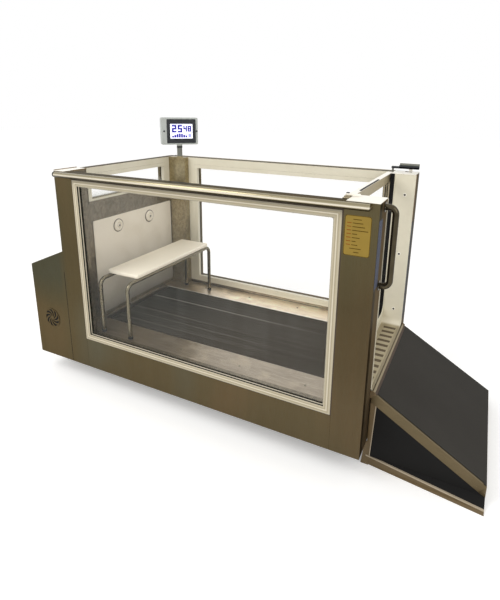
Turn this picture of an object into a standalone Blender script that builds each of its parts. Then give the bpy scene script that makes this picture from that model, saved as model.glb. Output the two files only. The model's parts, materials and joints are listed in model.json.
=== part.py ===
"""Dog underwater treadmill: a glazed tank with a running belt in its floor, an
inward door behind an end ramp, a plant housing, a bench and a swivel display.

Metres, +Z up. The object's own origin is on the floor under the middle of its
bounding box. Pieces are modelled in tank coordinates: X from the tank's left
end, Y from its front face, Z from its bottom edge.
"""

import math

import bmesh
import bpy
from mathutils import Matrix, Vector

# Clearances and stock
GAP = 0.0003
WELD = 0.001
SHEET = 0.003
RUN_GAP = 0.003

# Tank
TANK_LENGTH = 1.90
TANK_WIDTH = 1.12
TANK_HEIGHT = 1.25
WALL = 0.05
FLOOR_CLEARANCE = 0.13
DECK_HEIGHT = 0.230

# Windows: the opening, as low and high along the wall, then low and high in Z
FRONT_OPENING = (0.181, TANK_LENGTH - 0.192, DECK_HEIGHT + 0.006, TANK_HEIGHT - 0.076)
REAR_OPENING = (0.280, TANK_LENGTH - 0.200, DECK_HEIGHT + 0.065, TANK_HEIGHT - 0.080)
LEFT_OPENING = (0.225, TANK_WIDTH - 0.170, TANK_HEIGHT - 0.200, TANK_HEIGHT - 0.067)
FRAME_BAND = 0.036
FRAME_LAP = 0.022
FRAME_STAND = 0.004
FRAME_GROOVE = 0.0025
CLAMP_BAND = 0.026
GLASS_DEPTH = 0.018
GLASS_THICKNESS = 0.010

# Doorway and door
POST_DEPTH = 0.143
JAMB_INSET = 0.145
LINER_THICKNESS = 0.0035
LINER_LENGTH = 0.1245
LINER_REACH = 0.0035
LINER_RADIUS = 0.045
SILL_HEIGHT = DECK_HEIGHT + 0.0412
GASKET_THICKNESS = 0.008
GASKET_LENGTH = 0.0235
GASKET_STAND = 0.0022
DOOR_THICKNESS = 0.036
DOOR_FRONT = 0.070
DOOR_REAR = TANK_WIDTH - 0.075
DOOR_BOTTOM = DECK_HEIGHT + 0.020
DOOR_STILE = 0.080
DOOR_TOP_RAIL = 0.050
DOOR_BOTTOM_RAIL = 0.070
DOOR_GLASS_GROOVE = 0.012
HINGE_SPAN = (DOOR_BOTTOM + 0.050, TANK_HEIGHT - 0.050)
HINGE_KNUCKLES = 9
HINGE_RADIUS = 0.009
HINGE_PIN_RADIUS = 0.004
HINGE_PLATE = 0.004
HINGE_PLATE_WIDTH = 0.060
LATCH_BASE = (0.026, 0.040, 0.008)
LATCH_LEVER_LENGTH = 0.050
LATCH_LEVER_THICKNESS = 0.009
LATCH_LEVER_WIDTH = 0.020

# Threshold slots
SLOT_COUNT = 12
SLOT_LENGTH = 0.080
SLOT_WIDTH = 0.008

# Handrails and the grab handle
RAIL_RADIUS = 0.016
RAIL_HEIGHT = TANK_HEIGHT - 0.015
RAIL_END = TANK_LENGTH - 0.035
RAIL_STAND = 0.004
PAD_SIZE = (0.030, 0.016)
HANDLE_RADIUS = 0.0125
HANDLE_TOP = TANK_HEIGHT - 0.028
HANDLE_BOTTOM = HANDLE_TOP - 0.360
HANDLE_STAND = 0.050
HANDLE_BEND = 0.030
HANDLE_INSET = 0.100
ROSETTE_RADIUS = 0.023
ROSETTE_THICKNESS = 0.004
REAR_BAR_LENGTH = 0.140
REAR_BAR_BASE = (0.165, 0.030, 0.025)
REAR_BAR_RADIUS = 0.010

# Base
BASE_TUBE = 0.040
BASE_RAIL_INSET = 0.200
BASE_CROSS = (0.10, TANK_LENGTH / 2 - 0.150, TANK_LENGTH - 0.200)
FLOOR_SHEET = 0.003
FOOT_PLACES = (0.50, TANK_LENGTH - 0.280)
FOOT_PAD_RADIUS = 0.040
FOOT_PAD_HEIGHT = 0.018
FOOT_STEM_RADIUS = 0.010

# Belt and rollers
BELT_WIDTH = 0.643
BELT_THICKNESS = 0.003
ROLLER_RADIUS = 0.0514
ROLLER_CROWN = 0.0005
ROLLER_LEFT = 0.130
ROLLER_RIGHT = TANK_LENGTH - 0.220
SHAFT_RADIUS = 0.0125
BED_THICKNESS = 0.021
BED_CROSS = (0.30, TANK_LENGTH / 2 - 0.050, TANK_LENGTH - 0.400)
BED_TUBE = 0.030
RAIL_WEB = 0.004
RAIL_FLANGE = 0.030
DECK_DEPTH = 0.024
BEARING_SIZE = 0.058
BEARING_WIDTH = 0.028

# Drive
PULLEY_RADIUS = 0.032
MOTOR_PULLEY_RADIUS = 0.018
PULLEY_FLANGE = 0.006
PULLEY_WIDTH = 0.020
DRIVE_BELT_WIDTH = 0.012
DRIVE_BELT_THICKNESS = 0.005
MOTOR_PLACE = (-0.130, 0.175)
MOTOR_RADIUS = 0.070
MOTOR_LENGTH = 0.260
MOTOR_SHAFT_RADIUS = 0.009

# Plant housing
HOUSING_LENGTH = 0.30
HOUSING_HIGH = TANK_HEIGHT - 0.495
HOUSING_LOW = HOUSING_HIGH - 0.128
VENT_PLACE = (-0.155, 0.275)
VENT_RADIUS = 0.066
VENT_SLATS = 7
TRAY_TOP = 0.040

# Water circuit
PIPE_RADIUS = 0.016
MANIFOLD_RADIUS = 0.014
PIPE_BEND = 0.035
PUMP_PLACE = (-0.160, 0.115)
PUMP_FRONT = 0.360
PUMP_RADIUS = 0.070
PUMP_WIDTH = 0.060
PUMP_MOTOR_RADIUS = 0.058
PUMP_MOTOR_LENGTH = 0.200
SUCTION_Y = 0.275
FILTER_PLACE = (-0.160, 0.135)
FILTER_RADIUS = 0.085
FILTER_TOP = 0.450
FILTER_INLET = 0.290
FILTER_OUTLET = 0.385
RISER_Y = 0.850
DRIVE_BOX = (0.100, 0.150, 0.070)

# Jets and their panel
PANEL_THICKNESS = 0.0057
PANEL_SIDES = (0.212, TANK_WIDTH - 0.108)
PANEL_HEIGHTS = (DECK_HEIGHT + 0.028, TANK_HEIGHT - 0.345)
JET_PLACES = (TANK_WIDTH / 2 - 0.130, TANK_WIDTH / 2 + 0.192)
JET_HEIGHT = PANEL_HEIGHTS[1] - 0.072
JET_FLANGE_RADIUS = 0.041
JET_HOLE_RADIUS = 0.0305
JET_BALL_RADIUS = 0.0190
JET_SOCKET_RADIUS = 0.0203
JET_BORE_RADIUS = 0.008
JET_CENTRE = 0.0535

# Drain
DRAIN_PLACE = (1.150, 0.770)
DRAIN_PIPE_RADIUS = 0.017
DRAIN_DEPTH = 0.045
DRAIN_VALVE_RADIUS = 0.028
DRAIN_VALVE_FRONT = TANK_WIDTH - 0.220
DRAIN_VALVE_LENGTH = 0.060
DRAIN_TAIL = 0.040
DRAIN_LEVER_LENGTH = 0.090

# Display
COLUMN_WIDTH = 0.150
COLUMN_DEPTH = 0.050
POLE_RADIUS = 0.0185
POLE_X = 0.140
POLE_HEIGHT = 0.083
COLLAR_HEIGHT = 0.012
DISPLAY_SIZE = (0.275, 0.070, 0.199)
DISPLAY_TURN = 45.0
BEZEL_SIZE = (0.217, 0.176)
BEZEL_SHIFT = 0.012
BEZEL_THICKNESS = 0.003
SCREEN_SIZE = (0.167, 0.107)
SCREEN_THICKNESS = 0.002

# Bench
BENCH_TUBES = (0.210, 0.428)
BENCH_SPAN = (0.085, TANK_WIDTH - 0.135)
BENCH_TUBE_RADIUS = 0.0125
BENCH_HEIGHT = DECK_HEIGHT + 0.365
BENCH_BEND = 0.045
SEAT_SPAN = (BENCH_SPAN[0] + 0.080, BENCH_SPAN[1] - 0.030)
SEAT_OVERHANG = 0.0125
SEAT_THICKNESS = 0.026
BENCH_FOOT_RADIUS = 0.018
BENCH_FOOT_HEIGHT = 0.028
BENCH_BARS = (BENCH_SPAN[0] + 0.200, BENCH_SPAN[1] - 0.150)
BENCH_BAR_RADIUS = 0.010

# Ramp: the deck's upper edge, its run and the depth of its flanges
RAMP_TOP = SILL_HEIGHT + 0.0188
RAMP_REACH = 0.557
RAMP_OUTER_HEIGHT = 0.0936
RAMP_FLANGE = 0.052
RAMP_INSET = 0.148
RAMP_END_GAP = 0.009
RAMP_TUBE = 0.025
RAMP_MAT_MARGIN = 0.012
RAMP_MAT_THICKNESS = 0.0025
RAMP_PIVOT = (0.0165, RAMP_TOP - 0.010)
RAMP_LUG = 0.004
RAMP_PIN_RADIUS = 0.005
RAMP_PANEL_THICKNESS = 0.003

# Derived places
TANK_LEFT = (HOUSING_LENGTH - TANK_LENGTH - RAMP_REACH) / 2
ORIGIN = Vector((TANK_LEFT, -TANK_WIDTH / 2, FLOOR_CLEARANCE))
INSIDE = (WALL + GAP, TANK_WIDTH - WALL - GAP)
DOOR_PLANE = TANK_LENGTH - POST_DEPTH
DOOR_OUTER = DOOR_PLANE - GASKET_STAND - GAP
DOOR_INNER = DOOR_OUTER - DOOR_THICKNESS
HINGE_X = DOOR_INNER - GAP - HINGE_RADIUS
BELT_RADIUS = ROLLER_RADIUS + 2 * GAP + BELT_THICKNESS
ROLLER_HEIGHT = DECK_HEIGHT - BELT_RADIUS
BELT_SIDES = ((TANK_WIDTH - BELT_WIDTH) / 2, (TANK_WIDTH + BELT_WIDTH) / 2)
DECK_EDGE = BELT_SIDES[0] - RUN_GAP - 0.0005
RAIL_WEB_Y = DECK_EDGE - 0.020
FLOOR_TOP = BASE_TUBE + 2 * GAP + SHEET + FLOOR_SHEET
DISPLAY_BOTTOM = TANK_HEIGHT + GAP + POLE_HEIGHT + GAP + COLLAR_HEIGHT
PULLEY_Y = TANK_WIDTH - WALL / 2 - PULLEY_WIDTH / 2

# Colours: red, green and blue in linear light, roughness, metallic
STEEL = ((0.25, 0.21, 0.14), 0.35, 1.0)
CREAM = ((0.78, 0.70, 0.54), 0.45, 0.0)
BLACK_RUBBER = ((0.02, 0.02, 0.02), 0.75, 0.0)
GREY_RUBBER = ((0.06, 0.055, 0.05), 0.80, 0.0)
WHITE_PLASTIC = ((0.80, 0.76, 0.68), 0.50, 0.0)
GREY_PLASTIC = ((0.60, 0.62, 0.60), 0.45, 0.0)
DARK_METAL = ((0.08, 0.08, 0.08), 0.45, 1.0)
GLASS = ((0.85, 0.88, 0.86), 0.05, 0.0)


def clear_scene():
    """Remove every object that the file opened with."""
    for item in list(bpy.data.objects):
        bpy.data.objects.remove(item, do_unlink=True)


def make_material(name, look):
    """A Principled material of a colour, a roughness and a metallic value."""
    colour, roughness, metallic = look
    material = bpy.data.materials.new(name)
    material.use_nodes = True
    shader = material.node_tree.nodes["Principled BSDF"]
    shader.inputs["Base Color"].default_value = (*colour, 1.0)
    shader.inputs["Roughness"].default_value = roughness
    shader.inputs["Metallic"].default_value = metallic
    material.diffuse_color = (*colour, 1.0)
    return material


def add_piece(name, bm, look, pivot=(0, 0, 0)):
    """Turn a bmesh in tank coordinates into a named object with its origin at a pivot."""
    bmesh.ops.recalc_face_normals(bm, faces=bm.faces)
    mesh = bpy.data.meshes.new(name)
    bm.to_mesh(mesh)
    bm.free()
    mesh.transform(Matrix.Translation(-Vector(pivot)))
    mesh.shade_smooth()
    mesh.set_sharp_from_angle(angle=math.radians(35))
    mesh.materials.append(make_material(name, look))
    piece = bpy.data.objects.new(name, mesh)
    piece.location = ORIGIN + Vector(pivot)
    bpy.context.collection.objects.link(piece)
    return piece


def combine(piece, bm, operation):
    """Change a piece by a hidden helper made from a bmesh in tank coordinates."""
    bmesh.ops.recalc_face_normals(bm, faces=bm.faces)
    name = piece.name + "_" + operation.lower()
    mesh = bpy.data.meshes.new(name)
    bm.to_mesh(mesh)
    bm.free()
    helper = bpy.data.objects.new(name, mesh)
    helper.location = ORIGIN
    helper.hide_render = True
    helper.display_type = "WIRE"
    bpy.context.collection.objects.link(helper)
    modifier = piece.modifiers.new(operation.lower(), "BOOLEAN")
    modifier.operation = operation
    modifier.solver = "EXACT"
    modifier.object = helper


def cut(piece, bm):
    """Take a shape away from a piece."""
    combine(piece, bm, "DIFFERENCE")


def weld(piece, bm):
    """Join an overlapping shape to a piece."""
    combine(piece, bm, "UNION")


def round_edges(piece, width, segments=2):
    """Bevel the edges of a piece that turn by more than 30 degrees."""
    modifier = piece.modifiers.new("round", "BEVEL")
    modifier.width = width
    modifier.segments = segments
    modifier.limit_method = "ANGLE"
    modifier.angle_limit = math.radians(30)


def lift(point, axis, depth):
    """A point of a flat outline, lifted into space square to an axis."""
    a, b = point
    return {"x": (depth, a, b), "y": (a, depth, b), "z": (a, b, depth)}[axis]


def arc(centre, radius, start, end, steps):
    """Points of an arc in a plane, angles in degrees."""
    turns = [math.radians(start + (end - start) * n / steps) for n in range(steps + 1)]
    return [(centre[0] + radius * math.cos(t), centre[1] + radius * math.sin(t)) for t in turns]


def rectangle(low_a, high_a, low_b, high_b, inset=0.0):
    """Corners of a rectangle, drawn in by an inset."""
    a = (low_a + inset, high_a - inset)
    b = (low_b + inset, high_b - inset)
    return [(a[0], b[0]), (a[1], b[0]), (a[1], b[1]), (a[0], b[1])]


def rounded_rectangle(low_a, high_a, low_b, high_b, radius, steps=3):
    """Outline of a rectangle with round corners."""
    corners = ((high_a, high_b, 0), (low_a, high_b, 90), (low_a, low_b, 180), (high_a, low_b, 270))
    points = []
    for a, b, turn in corners:
        centre = (a + radius * (1 if a == low_a else -1), b + radius * (1 if b == low_b else -1))
        points += arc(centre, radius, turn, turn + 90, steps)
    return points


def add_loops(bm, loops, closed=True):
    """Skin matching loops of points with quads; closed joins the last to the first."""
    rings = [[bm.verts.new(point) for point in loop] for loop in loops]
    pairs = list(zip(rings, rings[1:]))
    if closed:
        pairs.append((rings[-1], rings[0]))
    for low, high in pairs:
        for n, vert in enumerate(low):
            after = (n + 1) % len(low)
            bm.faces.new((vert, low[after], high[after], high[n]))
    if not closed:
        bm.faces.new(rings[0])
        bm.faces.new(rings[-1])


def add_prism(bm, outline, axis, low, high):
    """Extrude a flat outline between two depths."""
    add_loops(bm, [[lift(p, axis, d) for p in outline] for d in (low, high)], closed=False)


def add_ring(bm, outer, inner, axis, low, high):
    """Extrude a flat ring between an outer and an inner outline of as many points."""
    steps = ((outer, low), (outer, high), (inner, high), (inner, low))
    add_loops(bm, [[lift(p, axis, depth) for p in outline] for outline, depth in steps])


def add_box(bm, x, y, z):
    """A closed box between low and high values on each axis."""
    add_prism(bm, rectangle(*x, *y), "z", *z)


def add_open_box(bm, x, y, z, wall=SHEET):
    """A sheet box that is open underneath."""
    outer = rectangle(*x, *y)
    inner = rectangle(*x, *y, inset=wall)
    rings = ((outer, z[1]), (outer, z[0]), (inner, z[0]), (inner, z[1] - wall))
    add_loops(bm, [[lift(p, "z", depth) for p in ring] for ring, depth in rings], closed=False)


def add_lathe(bm, profile, centre, axis, segments=24, closed=False):
    """Turn (along, radius) pairs about an axis through a centre.

    A closed profile is a ring; an open one starts and ends on the axis.
    """
    rings = []
    for along, radius in profile:
        steps = segments if radius > 0 else 1
        turns = [2 * math.pi * n / steps for n in range(steps)]
        points = [(radius * math.cos(t), radius * math.sin(t)) for t in turns]
        offsets = [Vector(lift(point, axis, along)) for point in points]
        rings.append([bm.verts.new(Vector(centre) + offset) for offset in offsets])
    pairs = list(zip(rings, rings[1:]))
    if closed:
        pairs.append((rings[-1], rings[0]))
    for low, high in pairs:
        for n in range(segments):
            after = (n + 1) % segments
            corners = [low[n % len(low)], low[after % len(low)]]
            corners += [high[after % len(high)], high[n % len(high)]]
            bm.faces.new(list(dict.fromkeys(corners)))


def add_rod(bm, start, end, radius, axis, segments=16):
    """A solid cylinder from one place to another along an axis."""
    along = "xyz".index(axis)
    length = end[along] - start[along]
    add_lathe(bm, ((0, 0), (0, radius), (length, radius), (length, 0)), start, axis, segments)


def rounded_path(points, radius, steps=4):
    """A path through points, with each corner turned by an arc."""
    path = [Vector(points[0])]
    for before, corner, after in zip(points, points[1:], points[2:]):
        back = (Vector(before) - Vector(corner)).normalized()
        ahead = (Vector(after) - Vector(corner)).normalized()
        half = back.angle(ahead) / 2
        reach = radius / math.tan(half)
        centre = Vector(corner) + (back + ahead).normalized() * (radius / math.sin(half))
        start = Vector(corner) + back * reach - centre
        axis = back.cross(ahead).normalized()
        sweep = math.pi - 2 * half
        for n in range(steps + 1):
            turn = Matrix.Rotation(-sweep * n / steps, 3, axis)
            path.append(centre + turn @ start)
    path.append(Vector(points[-1]))
    return path


def add_pipe(bm, path, radius, sides=12, end_scale=()):
    """Sweep a round section along a path; end_scale shrinks the first rings at each end."""
    scales = [1.0] * len(path)
    for n, scale in enumerate(end_scale):
        scales[n] = scale
        scales[-1 - n] = scale
    heading = (path[1] - path[0]).normalized()
    side = heading.orthogonal().normalized()
    loops = []
    for n, place in enumerate(path):
        arrive = (place - path[n - 1]).normalized() if n else heading
        leave = (path[n + 1] - place).normalized() if n + 1 < len(path) else arrive
        middle = (arrive + leave).normalized()
        side = (side - middle * side.dot(middle)).normalized()
        across = middle.cross(side)
        stretch = radius * scales[n]
        turns = [2 * math.pi * k / sides for k in range(sides)]
        loops.append([place + side * stretch * math.cos(t) + across * stretch * math.sin(t)
                      for t in turns])
    add_loops(bm, loops, closed=False)


def mirror_y(values):
    """Low and high values on Y, mirrored about the tank's middle."""
    return (TANK_WIDTH - values[1], TANK_WIDTH - values[0])


class Wall:
    """Where a wall lies: its axis, its outer face, the way inward and its spans."""

    def __init__(self, axis, outer_face, inward, span, opening):
        self.axis = axis
        self.outer_face = outer_face
        self.inward = inward
        self.span = span
        self.opening = opening

    def rings(self, steps):
        """Rectangles at depths below the outer face, ready for add_loops."""
        loops = []
        for corners, depth in steps:
            place = self.outer_face + self.inward * depth
            loops.append([lift(corner, self.axis, place) for corner in corners])
        return loops

    def hole(self):
        """The window's hole in the sheets."""
        return rectangle(*self.opening, inset=FRAME_LAP - FRAME_BAND)


FRONT = Wall("y", 0.0, 1, (0.0, TANK_LENGTH), FRONT_OPENING)
REAR = Wall("y", TANK_WIDTH, -1, (0.0, TANK_LENGTH), REAR_OPENING)
LEFT = Wall("x", 0.0, 1, INSIDE, LEFT_OPENING)


def wall_pan(wall, depth):
    """A folded sheet pan with a window opening, its edges turned inward."""
    bm = bmesh.new()
    outer = rectangle(*wall.span, 0.0, TANK_HEIGHT)
    fold = rectangle(*wall.span, 0.0, TANK_HEIGHT, inset=SHEET)
    hole = wall.hole()
    steps = ((outer, depth), (outer, 0), (hole, 0), (hole, SHEET), (fold, SHEET), (fold, depth))
    add_loops(bm, wall.rings(steps))
    return bm


def inner_skin(wall, span):
    """The sheet that closes a wall on the water side."""
    bm = bmesh.new()
    margin = SHEET + GAP
    edge = rectangle(*span, margin, TANK_HEIGHT - margin)
    hole = wall.hole()
    steps = ((edge, WALL - SHEET), (edge, WALL), (hole, WALL), (hole, WALL - SHEET))
    add_loops(bm, wall.rings(steps))
    return bm


def window_ring(wall, profile):
    """A mitred ring round a window, from (inset, depth) pairs."""
    bm = bmesh.new()
    steps = [(rectangle(*wall.opening, inset=inset - FRAME_BAND), depth) for inset, depth in profile]
    add_loops(bm, wall.rings(steps))
    return bm


def window_frame(wall, seat):
    """The grooved frame on the outer face, with a neck that holds the pane."""
    neck = FRAME_LAP + seat
    groove = FRAME_BAND * 0.42
    lip = FRAME_STAND - FRAME_GROOVE
    return window_ring(wall, (
        (0.0, -seat),
        (0.0, -FRAME_STAND),
        (groove, -FRAME_STAND),
        (groove + FRAME_GROOVE, -lip),
        (groove + 2 * FRAME_GROOVE, -lip),
        (groove + 3 * FRAME_GROOVE, -FRAME_STAND),
        (FRAME_BAND, -FRAME_STAND),
        (FRAME_BAND, GLASS_DEPTH - GAP),
        (neck, GLASS_DEPTH - GAP),
        (neck, -seat),
    ))


def window_clamp(wall, seat):
    """The ring on the water side that presses the pane against the frame."""
    neck = FRAME_LAP + seat
    back = GLASS_DEPTH + GLASS_THICKNESS + GAP
    return window_ring(wall, (
        (FRAME_BAND - CLAMP_BAND, WALL + seat),
        (FRAME_BAND - CLAMP_BAND, WALL + SHEET),
        (FRAME_BAND, WALL + SHEET),
        (FRAME_BAND, back),
        (neck, back),
        (neck, WALL + seat),
    ))


def window_pane(wall):
    """A flat pane between its frame and its clamp."""
    bm = bmesh.new()
    edge = rectangle(*wall.opening, inset=FRAME_LAP + WELD - FRAME_BAND)
    steps = ((edge, GLASS_DEPTH), (edge, GLASS_DEPTH + GLASS_THICKNESS))
    add_loops(bm, wall.rings(steps), closed=False)
    return bm


def build_walls():
    """Three double-skinned walls with their windows, round one welded lining."""
    add_piece("front_wall", wall_pan(FRONT, WALL), STEEL)
    add_piece("front_window_frame", window_frame(FRONT, GAP), CREAM)
    add_piece("front_window_pane", window_pane(FRONT), GLASS)

    rear = add_piece("rear_wall", wall_pan(REAR, WALL), STEEL)
    weld(rear, window_frame(REAR, -WELD))
    add_piece("rear_window_pane", window_pane(REAR), GLASS)
    add_piece("rear_window_clamp", window_clamp(REAR, GAP), CREAM)
    slot = bmesh.new()
    margin = 0.006
    drop = PULLEY_RADIUS + DRIVE_BELT_THICKNESS + margin
    add_box(slot, (-margin, margin), (PULLEY_Y - margin, PULLEY_Y + PULLEY_WIDTH + margin),
            (ROLLER_HEIGHT - drop, ROLLER_HEIGHT + drop))
    cut(rear, slot)

    left = add_piece("left_wall", wall_pan(LEFT, WALL - SHEET - GAP), STEEL)
    weld(left, window_frame(LEFT, -WELD))
    add_piece("left_window_pane", window_pane(LEFT), GLASS)
    add_piece("left_window_clamp", window_clamp(LEFT, GAP), CREAM)
    holes = bmesh.new()
    pipes = ((RISER_Y, FILTER_OUTLET, MANIFOLD_RADIUS), (SUCTION_Y, PUMP_PLACE[1], PIPE_RADIUS))
    for y, z, radius in pipes:
        add_rod(holes, (-WALL / 4, y, z), (WALL / 4, y, z), radius + 0.002, "x")
    cut(left, holes)


def build_lining():
    """The inner skins and the floor sheet, welded into one tank, with their holes."""
    margin = SHEET + GAP
    long = (margin, TANK_LENGTH - margin)
    inside = (WALL - SHEET / 2, TANK_WIDTH - WALL + SHEET / 2)
    lining = add_piece("tank_lining", inner_skin(FRONT, long), STEEL)
    weld(lining, inner_skin(LEFT, inside))
    weld(lining, inner_skin(REAR, long))
    bm = bmesh.new()
    add_box(bm, (WALL - SHEET / 2, DOOR_PLANE - GAP), inside, (FLOOR_TOP - FLOOR_SHEET, FLOOR_TOP))
    weld(lining, bm)
    weld(lining, window_clamp(FRONT, -WELD))

    holes = bmesh.new()
    for y in JET_PLACES:
        start = (WALL / 2, y, JET_HEIGHT)
        add_rod(holes, start, (2 * WALL, y, JET_HEIGHT), JET_HOLE_RADIUS + WELD, "x", 20)
    y, z = SUCTION_Y, PUMP_PLACE[1]
    add_rod(holes, (WALL / 2, y, z), (2 * WALL, y, z), PIPE_RADIUS + WELD, "x")
    start = (ROLLER_LEFT, TANK_WIDTH - 2 * WALL, ROLLER_HEIGHT)
    end = (ROLLER_LEFT, TANK_WIDTH - WALL / 2, ROLLER_HEIGHT)
    add_rod(holes, start, end, SHAFT_RADIUS + WELD, "y")
    x, y = DRAIN_PLACE
    low = FLOOR_TOP - 2 * FLOOR_SHEET
    add_rod(holes, (x, y, low), (x, y, FLOOR_TOP + FLOOR_SHEET), DRAIN_PIPE_RADIUS + WELD, "z", 16)
    cut(lining, holes)


def build_jets():
    """The white panel on the left wall and two eyeball nozzles in it."""
    back = WALL + GAP
    front = WALL + GAP + PANEL_THICKNESS
    bm = bmesh.new()
    add_prism(bm, rounded_rectangle(*PANEL_SIDES, *PANEL_HEIGHTS, 0.012), "x", back, front)
    panel = add_piece("jet_panel", bm, WHITE_PLASTIC)
    holes = bmesh.new()
    for y in JET_PLACES:
        start = (WALL / 2, y, JET_HEIGHT)
        add_rod(holes, start, (2 * WALL, y, JET_HEIGHT), JET_HOLE_RADIUS + WELD, "x", 20)
    cut(panel, holes)

    seat = front + GAP - JET_CENTRE
    throat = SHEET + 0.002 + 2 * MANIFOLD_RADIUS + 2 * GAP - JET_CENTRE
    profile = [(seat, JET_FLANGE_RADIUS)]
    profile += [(seat + 0.006, JET_FLANGE_RADIUS - 0.002)]
    profile += [(seat + 0.010, JET_FLANGE_RADIUS - 0.012)]
    profile += arc((0, 0), JET_SOCKET_RADIUS, 60, 120, 5)
    profile += [(throat, JET_BORE_RADIUS)]
    profile += [(throat, JET_HOLE_RADIUS - 0.006)]
    profile += [(throat + 0.006, JET_HOLE_RADIUS)]
    profile += [(seat, JET_HOLE_RADIUS)]
    edge = math.degrees(math.asin(JET_BORE_RADIUS / JET_BALL_RADIUS))
    ball = arc((0, 0), JET_BALL_RADIUS, edge, 180 - edge, 8)
    for name, y in zip(("front", "rear"), JET_PLACES):
        centre = (JET_CENTRE, y, JET_HEIGHT)
        bm = bmesh.new()
        add_lathe(bm, profile, centre, "x", 20, closed=True)
        add_piece("jet_socket_" + name, bm, WHITE_PLASTIC)
        bm = bmesh.new()
        add_lathe(bm, ball, centre, "x", 20, closed=True)
        add_piece("jet_ball_" + name, bm, WHITE_PLASTIC, pivot=centre)


def jamb_outline(thickness):
    """A U that lines the doorway, as (Y, Z) points of its outer and inner edges."""
    side = JAMB_INSET + GAP
    centre = (side + LINER_RADIUS, SILL_HEIGHT + GAP + LINER_RADIUS)
    top = TANK_HEIGHT - GAP
    outer = [(side, top)] + arc(centre, LINER_RADIUS, 180, 270, 5)
    outer += [(TANK_WIDTH - a, b) for a, b in reversed(outer)]
    inner = [(side + thickness, top)] + arc(centre, LINER_RADIUS - thickness, 180, 270, 5)
    inner += [(TANK_WIDTH - a, b) for a, b in reversed(inner)]
    return outer + list(reversed(inner))


def build_doorway():
    """The posts and sill with the ramp's pivots, the slotted liner and the gasket."""
    x = (DOOR_PLANE, TANK_LENGTH)
    post = (INSIDE[0], JAMB_INSET)
    bm = bmesh.new()
    add_open_box(bm, x, post, (0, TANK_HEIGHT))
    frame = add_piece("door_frame", bm, STEEL)
    bm = bmesh.new()
    add_open_box(bm, (x[0], x[1]), (JAMB_INSET - WELD, TANK_WIDTH - JAMB_INSET + WELD), (0, SILL_HEIGHT))
    weld(frame, bm)
    bm = bmesh.new()
    add_open_box(bm, x, mirror_y(post), (0, TANK_HEIGHT))
    weld(frame, bm)

    pivot = (TANK_LENGTH + RAMP_PIVOT[0], RAMP_PIVOT[1])
    lug = [(TANK_LENGTH - WELD, pivot[1] - 0.030), (pivot[0], pivot[1] - 0.012)]
    lug += arc(pivot, 0.011, -60, 90, 5)
    lug += [(TANK_LENGTH - WELD, pivot[1] + 0.011)]
    lugs = bmesh.new()
    pins = bmesh.new()
    lug_y = (RAMP_INSET - GAP - RAMP_LUG, RAMP_INSET - GAP)
    pin_y = (lug_y[0] - 0.003, RAMP_INSET + SHEET)
    for side, pin in ((lug_y, pin_y), (mirror_y(lug_y), mirror_y(pin_y))):
        add_prism(lugs, lug, "y", *side)
        add_rod(pins, (pivot[0], pin[0], pivot[1]), (pivot[0], pin[1], pivot[1]), RAMP_PIN_RADIUS, "y", 12)
    weld(frame, lugs)
    weld(frame, pins)

    bm = bmesh.new()
    end = TANK_LENGTH + LINER_REACH
    start = end - LINER_LENGTH
    add_prism(bm, jamb_outline(LINER_THICKNESS), "x", start, end)
    liner = add_piece("jamb_liner", bm, CREAM)
    slots = bmesh.new()
    middle = (start + end) / 2
    reach = (middle - SLOT_LENGTH / 2, middle + SLOT_LENGTH / 2)
    side = JAMB_INSET + LINER_RADIUS
    span = TANK_WIDTH - 2 * side
    half = SLOT_WIDTH / 2
    for n in range(SLOT_COUNT):
        y = side + span * (n + 0.5) / SLOT_COUNT
        outline = rounded_rectangle(*reach, y - half, y + half, half * 0.9, 2)
        add_prism(slots, outline, "z", SILL_HEIGHT - WELD, SILL_HEIGHT + 3 * LINER_THICKNESS)
    cut(liner, slots)

    bm = bmesh.new()
    start = DOOR_OUTER + GAP
    add_prism(bm, jamb_outline(GASKET_THICKNESS), "x", start, start + GASKET_LENGTH)
    add_piece("door_gasket", bm, BLACK_RUBBER)


def hinge_leaf(on_post):
    """One leaf of the long hinge, before its knuckles are parted.

    The door's leaf runs from the knuckle along the door's inner face. The
    post's leaf passes the door's edge and is screwed to the rear post.
    """
    plate = HINGE_PLATE
    bend = math.degrees(math.acos((HINGE_RADIUS - plate) / HINGE_RADIUS))
    if on_post:
        top = DOOR_REAR + HINGE_RADIUS
        post = DOOR_PLANE - GAP
        outline = arc((HINGE_X, DOOR_REAR), HINGE_RADIUS, 90, 450 - bend, 12)
        outline += [(post, top - plate), (post, INSIDE[1] - GAP)]
        outline += [(post - plate, INSIDE[1] - GAP), (post - plate, top)]
    else:
        face = HINGE_X + HINGE_RADIUS
        end = DOOR_REAR - HINGE_PLATE_WIDTH
        outline = [(face, end)] + arc((HINGE_X, DOOR_REAR), HINGE_RADIUS, 0, 360 - bend, 12)
        outline += [(face - plate, end)]
    bm = bmesh.new()
    add_prism(bm, outline, "z", *HINGE_SPAN)
    return bm


def hinge_notches(first):
    """Boxes that clear every second knuckle, from the first or the second on."""
    low, high = HINGE_SPAN
    pitch = (high - low) / HINGE_KNUCKLES
    reach = HINGE_RADIUS + WELD
    bm = bmesh.new()
    for n in range(first, HINGE_KNUCKLES, 2):
        start = low + pitch * n - GAP / 2
        end = start + pitch + GAP
        add_box(bm, (HINGE_X - reach, HINGE_X + reach), (DOOR_REAR - reach, DOOR_REAR + reach),
                (start if n else start - WELD, end if n + 1 < HINGE_KNUCKLES else end + WELD))
    return bm


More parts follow.
